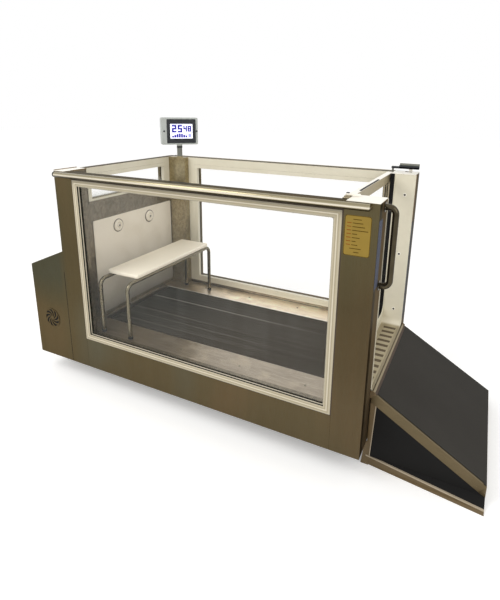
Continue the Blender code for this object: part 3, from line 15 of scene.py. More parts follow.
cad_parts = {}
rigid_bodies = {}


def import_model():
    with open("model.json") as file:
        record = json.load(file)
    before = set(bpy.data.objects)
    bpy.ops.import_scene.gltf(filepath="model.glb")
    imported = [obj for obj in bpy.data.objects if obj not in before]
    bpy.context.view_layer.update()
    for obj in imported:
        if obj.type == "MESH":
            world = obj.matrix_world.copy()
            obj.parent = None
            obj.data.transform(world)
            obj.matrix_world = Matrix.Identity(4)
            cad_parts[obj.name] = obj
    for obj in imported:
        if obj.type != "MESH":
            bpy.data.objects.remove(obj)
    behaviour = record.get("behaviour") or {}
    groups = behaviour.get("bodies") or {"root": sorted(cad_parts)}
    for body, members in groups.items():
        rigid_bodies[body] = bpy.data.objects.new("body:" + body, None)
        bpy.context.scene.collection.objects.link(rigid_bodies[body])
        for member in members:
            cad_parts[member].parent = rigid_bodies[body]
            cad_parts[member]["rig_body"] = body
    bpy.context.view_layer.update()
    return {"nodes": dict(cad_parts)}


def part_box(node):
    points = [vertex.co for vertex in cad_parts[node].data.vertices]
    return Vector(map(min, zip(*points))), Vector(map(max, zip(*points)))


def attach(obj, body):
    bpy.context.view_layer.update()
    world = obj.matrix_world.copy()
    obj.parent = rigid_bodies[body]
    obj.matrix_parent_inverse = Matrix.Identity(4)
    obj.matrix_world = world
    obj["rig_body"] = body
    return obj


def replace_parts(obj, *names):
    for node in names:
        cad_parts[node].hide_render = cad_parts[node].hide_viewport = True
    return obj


bl_info = {
    "name": "Dog Underwater Treadmill",
    "version": (1, 0, 0),
    "blender": (4, 5, 0),
    "location": "View3D > Sidebar > Treadmill",
    "description": "Dresses the treadmill with finishes, trims, fastenings and a display",
    "category": "Object",
}

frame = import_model()
TANK_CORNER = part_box("front_wall")[0]
AXES = {"x": Vector((1, 0, 0)), "y": Vector((0, 1, 0)), "z": Vector((0, 0, 1))}

# Tank: the same real sizes as the solids, in metres
TANK_LENGTH = 1.90
TANK_WIDTH = 1.12
TANK_HEIGHT = 1.25
INSIDE = 0.0503
POST_DEPTH = 0.143
POST_WIDTH = 0.145
DECK_HEIGHT = 0.230
TOP = TANK_HEIGHT + 0.0002
FRAME_BAND = 0.036
FLOOR = -0.130

# Display: it stands turned on its pole
POLE_PLACE = (0.140, 1.0444, 0)
DISPLAY_TURN = math.radians(45)
BEZEL_SHIFT = 0.012
CASE_FACE = -0.0350
SCREEN_FACE = -0.0386
INK = 0.0003

# Ramp: it falls along X from a start
RAMP_START = 1.9035
RAMP_TOP = 0.290
RAMP_SLOPE = 0.5897
SKIRT_START = 1.9045
SKIRT_END = 2.4565
FLANGE = 0.0560


def linear(hex_colour):
    """An sRGB hex colour as linear red, green and blue."""
    parts = [int(hex_colour[n:n + 2], 16) / 255 for n in (1, 3, 5)]
    return tuple(c / 12.92 if c <= 0.04045 else ((c + 0.055) / 1.055) ** 2.4 for c in parts)


def opaque(rgb, strength=1.0):
    """A hex or linear colour with alpha, lighter or darker by a factor."""
    rgb = linear(rgb) if isinstance(rgb, str) else rgb
    return (*[min(1.0, part * strength) for part in rgb[:3]], 1.0)


def colour(name, hex_colour, note):
    """A colour property whose default is an sRGB hex colour."""
    return bpy.props.FloatVectorProperty(name=name, description=note, subtype="COLOR", size=3, min=0.0,
                                         max=1.0, default=linear(hex_colour))


def number(name, value, note, **kind):
    """A number property of a unit or subtype."""
    return bpy.props.FloatProperty(name=name, description=note, default=value, **kind)


class FinishSettings(bpy.types.PropertyGroup):
    """Colours of the treadmill's finishes."""

    steel: colour("Steel", "#6e6147", "Ground stainless of the outer walls")
    steel_warm: colour("Steel, warm", "#84694c", "Its warmer clouds")
    steel_cool: colour("Steel, cool", "#6f6f60", "Its cooler clouds")
    inside: colour("Inner steel", "#8b8272", "Ground stainless of the tank's inside")
    column: colour("Column", "#b5a888", "Ground stainless of the corner column")
    deck: colour("Deck", "#a09585", "Stainless deck round the belt")
    tube: colour("Tube", "#7b735f", "Polished stainless tube of the bench")
    handle: colour("Handle", "#4f4839", "Polished stainless tube of the grab handle")
    cream: colour("Cream", "#e2dbc5", "Powder coat of the liner and inner trims")
    frame: colour("Front frame", "#bdb39a", "Powder coat of the front window frame")
    white: colour("White", "#ece2cf", "Sheet plastic of the jet panel")
    seat: colour("Seat", "#fff5df", "Seat board")
    belt: colour("Belt", "#383128", "Running belt")
    belt_line: colour("Belt line", "#9b968a", "Guide lines along the belt")
    ramp: colour("Ramp mat", "#322f2a", "Rubber mat of the ramp")
    plate: colour("Plate", "#9c8340", "Bare brass plate")
    film: colour("Film", "#3f4456", "Rest of the protective film")
    case: colour("Display case", "#bbbfba", "Moulded case of the display")


class TrimSettings(bpy.types.PropertyGroup):
    """Sizes of the small parts that this script adds."""

    cap: number("Cap", 0.0035, "Thickness of the white post caps", unit="LENGTH", precision=4)
    screw: number("Screw", 0.0045, "Radius of a small screw's head", unit="LENGTH", precision=4)
    trim: number("Trim", 0.0022, "Thickness of the cream trim in the tank", unit="LENGTH", precision=4)
    soft_edge: number("Edge", 0.0008, "Rounding of a sheet's edge", unit="LENGTH", precision=4)


class StageSettings(bpy.types.PropertyGroup):
    """Camera, lamps and floor."""

    focal: number("Focal length", 27.10, "Camera lens for a 36 mm sensor", subtype="DISTANCE_CAMERA")
    azimuth: number("Azimuth", 0.459, "Turn of the view from +Y towards -X", subtype="ANGLE")
    pitch: number("Pitch", 0.267, "Fall of the view below the horizon", subtype="ANGLE")
    roll: number("Roll", 0.014, "Roll of the camera", subtype="ANGLE")
    key: number("Key", 95.0, "Power of the key lamp", unit="POWER")
    fill: number("Fill", 30.0, "Power of the fill lamp", unit="POWER")
    sky: number("Sky", 0.80, "Strength of the plain surround", subtype="FACTOR")
    floor: colour("Floor", "#f6f5f3", "Plain pale floor")


def spot(x, y, z):
    """A place in tank coordinates as a place in the frame."""
    return TANK_CORNER + Vector((x, y, z))


def fill_inputs(node, *inputs, **named):
    """Give a node's inputs values or links, in their order or by name with _ for a space."""
    pairs = list(zip(node.inputs, inputs))
    pairs += [(node.inputs[name.replace("_", " ")], value) for name, value in named.items()]
    for socket, value in pairs:
        if isinstance(value, bpy.types.NodeSocket):
            node.id_data.links.new(value, socket)
        else:
            socket.default_value = value


def add_node(tree, kind, *inputs, output=0, stops=(), **named):
    """Add a node and give back one of its outputs.

    A name in lower case is a setting, and others are inputs. stops are a colour
    ramp's (position, hex colour) pairs, which run from 0 to 1.
    """
    node = tree.nodes.new("ShaderNode" + kind)
    for name in [name for name in named if name.islower()]:
        setattr(node, name, named.pop(name))
    fill_inputs(node, *inputs, **named)
    for position, _ in stops[1:-1]:
        node.color_ramp.elements.new(position)
    for n, (_, hex_colour) in enumerate(stops):
        node.color_ramp.elements[n].color = opaque(hex_colour)
    return node.outputs[output]


def start_material(name):
    """A new material: a function that adds its nodes, its shader and its Object coordinates."""
    material = bpy.data.materials.new(name)
    material.use_nodes = True
    add = functools.partial(add_node, material.node_tree)
    return add, material.node_tree.nodes["Principled BSDF"], add("TexCoord", output="Object")


def drawn_noise(add, place, scale, detail, stretch):
    """A noise drawn out along the axes on which its coordinates are squeezed."""
    place = add("Mapping", Vector=place, Scale=stretch)
    return add("TexNoise", Vector=place, Scale=scale, Detail=detail)


def along_axis(add, place, axis, low, high, to_low=0.0, to_high=1.0):
    """How far a place lies between two others on an axis."""
    return add("MapRange", add("SeparateXYZ", place, output=axis), low, high, to_low, to_high)


def tinted(add, tone, other, value, low, high, most, least=0.0):
    """Blend another colour in as a value goes from low to high."""
    return add("MixRGB", add("MapRange", value, low, high, least, most), tone, other)


def multiplied(add, tone, *others):
    """Multiply a colour by others."""
    for other in others:
        tone = add("MixRGB", 1.0, tone, other, blend_type="MULTIPLY")
    return tone


# Painted shade of the long walls, by height from their foot to their top.
WALL_SHADES = ((0.0, "#f2f2f2"), (0.22, "#ececec"), (0.38, "#dfdfdd"), (0.62, "#dbdbd8"), (0.88, "#f2f3ee"),
               (1.0, "#fafaf6"))


def wall_shade(add, place):
    """Painted shade and reflection of a long wall's room: darker at mid height, most of all by the door."""
    height = along_axis(add, place, "Z", 0.13, 1.38)
    shade = add("ValToRGB", height, stops=WALL_SHADES)
    door_end = along_axis(add, place, "X", 0.60, 0.70, 0.0, 0.65)
    plant_end = along_axis(add, place, "X", -1.05, -1.12, 0.0, 0.60)
    shade = add("MixRGB", door_end, shade, multiplied(add, shade, shade, opaque((0.92, 0.98, 1.0))))
    plant = multiplied(add, plant_end, add("MapRange", height, 0.28, 0.45))
    return add("MixRGB", plant, shade, opaque((0.48, 0.68, 0.92)))


def ground_steel(name, base, warm, cool, grain, shine=0.30, clouds=1.6, contrast=0.55, shaded=False,
                 mottle=0.0, edge=1.0):
    """Stainless sheet ground with a belt.

    Scratches too fine to count run along one axis, and slow clouds go from a
    warm to a cool tone: a painted soft reflection of the room. edge is how much
    of the room a sheet that is seen along its face mirrors.
    """
    add, shader, place = start_material(name)
    along = [1.0, 1.0, 1.0]
    along[grain] = 0.02
    scratches = drawn_noise(add, place, 700.0, 3.0, along)
    streaks = drawn_noise(add, place, 22.0, 3.0, along)
    along[grain] = 0.45
    slow = drawn_noise(add, place, clouds, 2.0, along)
    tone = tinted(add, opaque(base), opaque(warm), slow, 0.52, 0.72, contrast)
    tone = tinted(add, tone, opaque(cool), slow, 0.46, 0.30, contrast)
    tone = tinted(add, tone, opaque(base, 0.72), streaks, 0.35, 0.75, 0.22)
    tone = tinted(add, tone, opaque(cool, 1.35), scratches, 0.40, 0.70, 0.16)
    # shaded multiplies in the painted shade and reflection of the walls' room.
    if shaded:
        tone = multiplied(add, tone, wall_shade(add, place))
    if mottle:
        specks = add("TexNoise", Vector=place, Scale=55.0, Detail=4.0)
        tone = tinted(add, tone, opaque(cool, 0.62), specks, 0.40, 0.62, mottle)
    rough = add("MapRange", scratches, 0.3, 0.7, shine - 0.04, shine + 0.10)
    bump = add("Bump", Height=scratches, Strength=0.12, Distance=0.0003)
    fill_inputs(shader, Base_Color=tone, Metallic=1.0, Roughness=rough, Normal=bump,
                Specular_Tint=(edge, edge, edge, 1.0))


def deck_steel(name, rgb):
    """Stainless sheet that water runs over: brighter towards the door, with dried rings and drips."""
    add, shader, place = start_material(name)
    streaks = drawn_noise(add, place, 60.0, 3.0, (0.04, 1.0, 1.0))
    scuffs = drawn_noise(add, place, 14.0, 6.0, (0.5, 1.0, 1.0))
    scratches = drawn_noise(add, place, 240.0, 3.0, (0.05, 1.0, 1.0))
    rings = add("MapRange", add("TexNoise", Vector=place, Scale=9.0, Detail=5.0), 0.55, 0.66)
    tone = tinted(add, opaque(rgb), opaque(rgb, 0.62), streaks, 0.35, 0.7, 0.35)
    tone = tinted(add, tone, opaque(rgb, 0.55), scuffs, 0.35, 0.55, 0.0, 0.35)
    tone = tinted(add, tone, opaque(rgb, 1.7), scratches, 0.5, 0.7, 0.35)
    tone = tinted(add, tone, opaque(rgb, 1.8), rings, 0.0, 1.0, 0.32)
    tone = multiplied(add, tone, along_axis(add, place, "X", -0.9, -0.2, 0.70, 1.12),
                      along_axis(add, place, "Y", -0.3, 0.4, 1.0, 2.6))
    rough = add("MapRange", rings, 0.0, 1.0, 0.34, 0.52)
    bump = add("Bump", Height=streaks, Strength=0.08, Distance=0.0003)
    fill_inputs(shader, Base_Color=tone, Metallic=1.0, Roughness=rough, Normal=bump)


def polished_steel(name, rgb, shine=0.16, contrast=1.25):
    """Stainless tube polished with a mop: bright, with faint rub marks and finger haze."""
    add, shader, place = start_material(name)
    haze = add("TexNoise", Vector=place, Scale=18.0, Detail=4.0)
    rubs = add("TexNoise", Vector=place, Scale=900.0, Detail=2.0)
    tone = add("MixRGB", haze, opaque(rgb, 1 / contrast), opaque(rgb, contrast))
    rough = add("MapRange", haze, 0.3, 0.7, shine, shine + 0.12)
    bump = add("Bump", Height=rubs, Strength=0.03, Distance=0.0002)
    fill_inputs(shader, Base_Color=tone, Metallic=1.0, Roughness=rough, Normal=bump)


# Painted highlight and reflection on the rail, by its height from bottom to top.
RAIL_PAINTED_LIGHT = ((0.0, "#2c2614"), (0.25, "#332d1a"), (0.36, "#a59a7e"), (0.43, "#fff6e2"), (0.57, "#fff6e2"),
              (0.66, "#b0a68a"), (0.80, "#968c71"), (1.0, "#a39a80"))


def rail_steel(name, low, high):
    """Polished rail with painted light by height: a painted highlight line on its outside, and a painted
    reflection of the dark wall underneath.
    """
    add, shader, place = start_material(name)
    haze = drawn_noise(add, place, 12.0, 4.0, (0.2, 1.0, 1.0))
    tone = add("ValToRGB", along_axis(add, place, "Z", low, high), stops=RAIL_PAINTED_LIGHT)
    tone = tinted(add, tone, opaque("#6b6047"), haze, 0.4, 0.7, 0.2)
    rough = add("MapRange", haze, 0.3, 0.7, 0.22, 0.34)
    fill_inputs(shader, Base_Color=tone, Metallic=1.0, Roughness=rough)


def powder_coat(name, rgb, shine=0.38, grime=0.10, dark=None):
    """Baked powder coat or moulded plastic: fine orange peel, and grime in soft clouds.

    dark is a span of heights over which it darkens: a painted shadow under a rail, and darker towards a
    floor.
    """
    add, shader, place = start_material(name)
    peel = 0.0016
    skin = add("TexNoise", Vector=place, Scale=1 / peel, Detail=2.0)
    clouds = add("TexNoise", Vector=place, Scale=7.0, Detail=5.0)
    rgb = opaque(rgb)
    worn = (rgb[0] * 0.72, rgb[1] * 0.68, rgb[2] * 0.58, 1.0)
    tone = tinted(add, rgb, worn, clouds, 0.45, 0.8, grime * 3)
    if dark:
        tone = multiplied(add, tone, along_axis(add, place, "Z", *dark))
    rough = add("MapRange", clouds, 0.0, 1.0, shine, shine + 0.12)
    bump = add("Bump", Height=skin, Strength=0.08, Distance=0.0003)
    fill_inputs(shader, Base_Color=tone, Roughness=rough, Normal=bump)


def liner_coat(name, rgb, stain, low, high):
    """The doorway's coat, trodden and stained brown on the threshold."""
    add, shader, place = start_material(name)
    clouds = add("TexNoise", Vector=place, Scale=24.0, Detail=5.0)
    tone = add("MixRGB", along_axis(add, place, "Z", low, high), opaque(stain), opaque(rgb))
    tone = tinted(add, tone, opaque(stain, 0.9), clouds, 0.5, 0.8, 0.08)
    bump = add("Bump", Height=clouds, Strength=0.05, Distance=0.0004)
    fill_inputs(shader, Base_Color=tone, Roughness=0.42, Normal=bump)


def pebbled_rubber(name, rgb, pitch, relief, dust):
    """Vulcanised rubber with a pebbled face, dulled by dust in its hollows."""
    add, shader, place = start_material(name)
    pebbles = add("TexVoronoi", Vector=place, Scale=1 / pitch, output="Distance")
    clouds = add("TexNoise", Vector=place, Scale=4.0, Detail=6.0)
    rgb = opaque(rgb)
    pale = (*[part * 1.6 + 0.01 for part in rgb[:3]], 1.0)
    tone = tinted(add, rgb, pale, clouds, 0.35, 0.75, dust)
    tone = tinted(add, tone, opaque(rgb, 0.7), pebbles, 0.0, 0.8, 0.0, 0.4)
    bump = add("Bump", Height=pebbles, Strength=relief, Distance=0.0005, invert=True)
    fill_inputs(shader, Base_Color=tone, Roughness=0.82, Specular_IOR_Level=0.25, Normal=bump)


# Guide lines along the belt: place across it, half width and strength
BELT_LINES = ((0.135, 0.0042, 0.9), (-0.080, 0.0030, 0.30), (-0.160, 0.0030, 0.25), (-0.245, 0.0030, 0.22))


def belt_rubber(name, rgb, line):
    """Belt rubber: scuffs along the run, pale guide lines, and a damp bluish end by the jets."""
    add, shader, place = start_material(name)
    scuffs = drawn_noise(add, place, 60.0, 5.0, (0.025, 1.0, 1.0))
    clouds = drawn_noise(add, place, 3.0, 4.0, (0.5, 1.0, 1.0))
    weave = add("TexWave", Vector=place, Scale=160.0, Distortion=1.0, bands_direction="DIAGONAL")
    wet = (rgb[0] * 0.80, rgb[1] * 0.92, rgb[2] * 1.06, 1.0)
    tone = add("MixRGB", along_axis(add, place, "X", -0.85, -0.05), wet, opaque(rgb))
    tone = tinted(add, tone, opaque(line, 0.5), scuffs, 0.45, 0.8, 0.24)
    tone = tinted(add, tone, opaque(rgb, 1.5), clouds, 0.5, 0.8, 0.35)
    width = add("SeparateXYZ", place, output="Y")
    worn = along_axis(add, place, "X", -0.45, 0.25, 1.0, 0.12)
    for y, half, depth in BELT_LINES:
        here = add("Math", width, y, half, operation="COMPARE")
        shown = add("Math", here, worn, operation="MULTIPLY")
        tone = tinted(add, tone, opaque(line), shown, 0.0, 1.0, depth)
    bump = add("Bump", Height=weave, Strength=0.05, Distance=0.0003)
    fill_inputs(shader, Base_Color=tone, Roughness=0.8, Specular_IOR_Level=0.06, Normal=bump)


def tank_glass(name, misted=None):
    """Toughened glass: clear, with a faint veil of dried water.

    misted is a span of heights and the share of mist at each, where jets splash it.
    """
    add, shader, place = start_material(name)
    marks = drawn_noise(add, place, 1.0, 6.0, (14.0, 14.0, 2.5))
    veil = add("MapRange", marks, 0.45, 0.85, 0.022, 0.038)
    if misted:
        veil = add("Math", veil, along_axis(add, place, "Z", *misted), operation="ADD")
    fill_inputs(shader, Base_Color=opaque("#e7e9e3"), Roughness=0.05, Specular_IOR_Level=0.25, Alpha=veil)


def lit_screen(name, rgb, strength):
    """A backlit layer of the display, a little uneven like a real backlight."""
    add, shader, place = start_material(name)
    glow = add("TexNoise", Vector=place, Scale=20.0, Detail=1.0)
    tone = add("MixRGB", glow, opaque(rgb, 0.93), opaque(rgb))
    fill_inputs(shader, Base_Color=tone, Roughness=0.3, Emission_Color=tone, Emission_Strength=strength)


def start_bmesh(node=None):
    """An empty bmesh, or one of a CAD node with its triangles merged into flat faces."""
    bm = bmesh.new()
    if node:
        bm.from_mesh(frame["nodes"][node].data)
        bmesh.ops.remove_doubles(bm, verts=bm.verts, dist=0.00002)
        bmesh.ops.dissolve_limit(bm, angle_limit=math.radians(0.6), verts=bm.verts, edges=bm.edges)
    return bm


def bevel_edges(bm, edges, offset, segments):
    """Round edges by a bevel."""
    bmesh.ops.bevel(bm, geom=edges, offset=offset, offset_type="OFFSET", segments=segments, profile=0.5,
                    affect="EDGES", clamp_overlap=True, material=-1)


def round_sharp_edges(bm, offset, segments=2, angle=30.0):
    """Bevel every edge that is sharper than an angle."""
    limit = math.radians(angle)
    sharp = [edge for edge in bm.edges if len(edge.link_faces) == 2 and edge.calc_face_angle(0.0) > limit]
    bevel_edges(bm, sharp, offset, segments)


def finish_piece(name, bm, material, body="tank", even=False):
    """Turn a bmesh into a piece that rides on a body, with flat faces kept flat where asked."""
    mesh = bpy.data.meshes.new(name)
    bm.to_mesh(mesh)
    bm.free()
    mesh.shade_smooth()
    mesh.set_sharp_from_angle(angle=math.radians(35.0))
    mesh.materials.append(bpy.data.materials[material])
    piece = bpy.data.objects.new(name, mesh)
    bpy.context.collection.objects.link(piece)
    if even:
        piece.modifiers.new("Even shading", "WEIGHTED_NORMAL").keep_sharp = True
    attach(piece, body)
    return piece


def dress(material, bevel, segments, *nodes):
    """Stand finer copies of CAD nodes in their places, with rounded edges and smooth curves."""
    for node in nodes:
        bm = start_bmesh(node)
        if bevel:
            round_sharp_edges(bm, bevel, segments)
        body = frame["nodes"][node]["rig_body"]
        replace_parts(finish_piece(node + "_finish", bm, material, body, even=bool(bevel)), node)


def paint(material, *nodes):
    """Give CAD nodes a better material as they are."""
    for node in nodes:
        slots = frame["nodes"][node].data.materials
        slots.clear()
        slots.append(bpy.data.materials[material])


def fresh_verts(bm, known):
    """The vertices that weren't there before."""
    return [vert for vert in bm.verts if vert not in known]


def face_outward(bm, known):
    """Turn the normals of the faces that weren't there before outward."""
    faces = list({face for vert in fresh_verts(bm, known) for face in vert.link_faces})
    bmesh.ops.recalc_face_normals(bm, faces=faces)


def thicken(bm, faces, axis, depth):
    """Draw flat faces out along an axis into a solid."""
    grown = bmesh.ops.extrude_face_region(bm, geom=faces)["geom"]
    moved = [item for item in grown if isinstance(item, bmesh.types.BMVert)]
    bmesh.ops.translate(bm, verts=moved, vec=AXES[axis] * depth)


def facing(place, normal):
    """The matrix that turns +Z to a normal and moves the origin to a place."""
    return Matrix.Translation(place) @ Vector(normal).to_track_quat("Z", "Y").to_matrix().to_4x4()


def add_block(bm, low, high, bevel=0.0, segments=2):
    """A block between two corners, with rounded edges."""
    known = set(bm.verts)
    low, high = Vector(low), Vector(high)
    matrix = Matrix.Translation((low + high) / 2) @ Matrix.Diagonal((*(high - low), 1.0))
    bmesh.ops.create_cube(bm, size=1.0, matrix=matrix)
    if bevel:
        edges = list({edge for vert in fresh_verts(bm, known) for edge in vert.link_edges})
        bevel_edges(bm, edges, bevel, segments)


def add_spun(bm, profile, place, normal, steps=40):
    """Spin a profile of (height, radius) pairs round a normal at a place."""
    known = set(bm.verts)
    verts = [bm.verts.new((radius, 0.0, height)) for height, radius in profile]
    edges = [bm.edges.new(pair) for pair in zip(verts, verts[1:])]
    bmesh.ops.spin(bm, geom=verts + edges, cent=(0, 0, 0), axis=(0, 0, 1), dvec=(0, 0, 0),
                   angle=2 * math.pi, steps=steps, use_merge=True)
    bmesh.ops.remove_doubles(bm, verts=fresh_verts(bm, known), dist=1e-6)
    face_outward(bm, known)
    bmesh.ops.transform(bm, matrix=facing(place, normal), verts=fresh_verts(bm, known))


def add_screws(bm, places, normal, radius, steps=12):
    """Button heads with a socket, each sunk a little into what it holds."""
    height = radius * 0.55
    profile = [(-0.0005, 0.0), (-0.0005, radius), (height * 0.35, radius), (height, radius * 0.72),
               (height, radius * 0.40), (height * 0.4, radius * 0.36), (height * 0.4, 0.0)]
    for place in places:
        add_spun(bm, profile, place, normal, steps)


def rounded_outline(box, radius=0.0, steps=6):
    """The points round a (low, high, low, high) rectangle, with its corners rounded where asked."""
    a0, a1, b0, b1 = box
    if not radius:
        return [(a0, b0), (a1, b0), (a1, b1), (a0, b1)]
    points = []
    for a, b, turn in ((a0 + radius, b0 + radius, 180), (a1 - radius, b0 + radius, 270),
                       (a1 - radius, b1 - radius, 0), (a0 + radius, b1 - radius, 90)):
        for step in range(steps + 1):
            angle = math.radians(turn + 90 * step / steps)
            points.append((a + radius * math.cos(angle), b + radius * math.sin(angle)))
    return points


def across(axis, a, b, depth):
    """A point from two places across an axis and a depth along it."""
    return {"x": (depth, a, b), "y": (a, depth, b), "z": (a, b, depth)}[axis]


def add_ring(bm, axis, outer, inner, near, far, radius=0.0):
    """A frame between two (low, high, low, high) rectangles across an axis, its corners rounded."""
    known = set(bm.verts)
    edges = []
    for box in (outer, inner):
        verts = [bm.verts.new(across(axis, a, b, near)) for a, b in rounded_outline(box, radius)]
        edges += [bm.edges.new((verts[n - 1], vert)) for n, vert in enumerate(verts)]
    thicken(bm, bmesh.ops.bridge_loops(bm, edges=edges)["faces"], axis, far - near)
    face_outward(bm, known)


def add_prism(bm, points, axis, near, far):
    """An outline of (first, second) points across an axis, made solid from near to far."""
    known = set(bm.verts)
    face = bm.faces.new([bm.verts.new(across(axis, a, b, near)) for a, b in points])
    thicken(bm, [face], axis, far - near)
    face_outward(bm, known)


def span_of(node, axes):
    """A node's (low, high, low, high) rectangle along two axes."""
    low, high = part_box(node)
    first, second = axes
    return (getattr(low, first), getattr(high, first), getattr(low, second), getattr(high, second))


def inset_box(box, amount):
    """A rectangle of (low, high, low, high) made smaller all round."""
    return (box[0] + amount, box[1] - amount, box[2] + amount, box[3] - amount)


def bent_path(points, radius, steps=8):
    """The points of a path whose corners are rounded by arcs."""
    points = [Vector(point) for point in points]
    path = [points[0]]
    for before, corner, after in zip(points, points[1:], points[2:]):
        first = (before - corner).normalized()
        last = (after - corner).normalized()
        half = first.angle(last) / 2
        reach = radius / math.tan(half)
        centre = corner + (first + last).normalized() * (radius / math.sin(half))
        start = corner + first * reach - centre
        end = corner + last * reach - centre
        sweep = start.angle(end)
        for n in range(steps + 1):
            share = n / steps
            path.append(centre + (start * math.sin((1 - share) * sweep)
                                  + end * math.sin(share * sweep)) / math.sin(sweep))
    path.append(points[-1])
    return path


def add_tube(bm, path, radius, resolution=6):
    """A round bar along a path, made by Blender's curve bevel."""
    curve = bpy.data.curves.new("tube", "CURVE")
    curve.dimensions = "3D"
    curve.bevel_depth = radius
    curve.bevel_resolution = resolution
    curve.use_fill_caps = True
    line = curve.splines.new("POLY")
    line.points.add(len(path) - 1)
    for point, place in zip(line.points, path):
        point.co = (*place, 1.0)
    holder = bpy.data.objects.new("tube", curve)
    mesh = bpy.data.meshes.new_from_object(holder)
    known = set(bm.verts)
    bm.from_mesh(mesh)
    bmesh.ops.remove_doubles(bm, verts=fresh_verts(bm, known), dist=1e-6)
    face_outward(bm, known)
    bpy.data.objects.remove(holder)
    bpy.data.curves.remove(curve)
    bpy.data.meshes.remove(mesh)


def block_piece(name, material, corners, bevel=0.0, segments=2, body="tank", even=False):
    """A piece of blocks, each between two corners."""
    bm = start_bmesh()
    for low, high in corners:
        add_block(bm, low, high, bevel, segments)
    return finish_piece(name, bm, material, body, even)


def spun_piece(name, material, profile, places, normal, steps, body="tank"):
    """A piece of like turned parts at places, all round one normal."""
    bm = start_bmesh()
    for place in places:
        add_spun(bm, profile, place, normal, steps)
    return finish_piece(name, bm, material, body)


def ring_piece(name, material, axis, rings, radius=0.0, bevel=0.0, segments=2, body="tank"):
    """A piece of frames, each with its outer and inner rectangle and two depths."""
    bm = start_bmesh()
    for outer, inner, near, far in rings:
        add_ring(bm, axis, outer, inner, near, far, radius)
    if bevel:
        round_sharp_edges(bm, bevel, segments)
    return finish_piece(name, bm, material, body, even=bool(bevel))


def screw_piece(name, material, places, normal, radius, steps=12, body="tank"):
    """A piece of like screws at places."""
    bm = start_bmesh()
    add_screws(bm, places, normal, radius, steps)
    return finish_piece(name, bm, material, body)


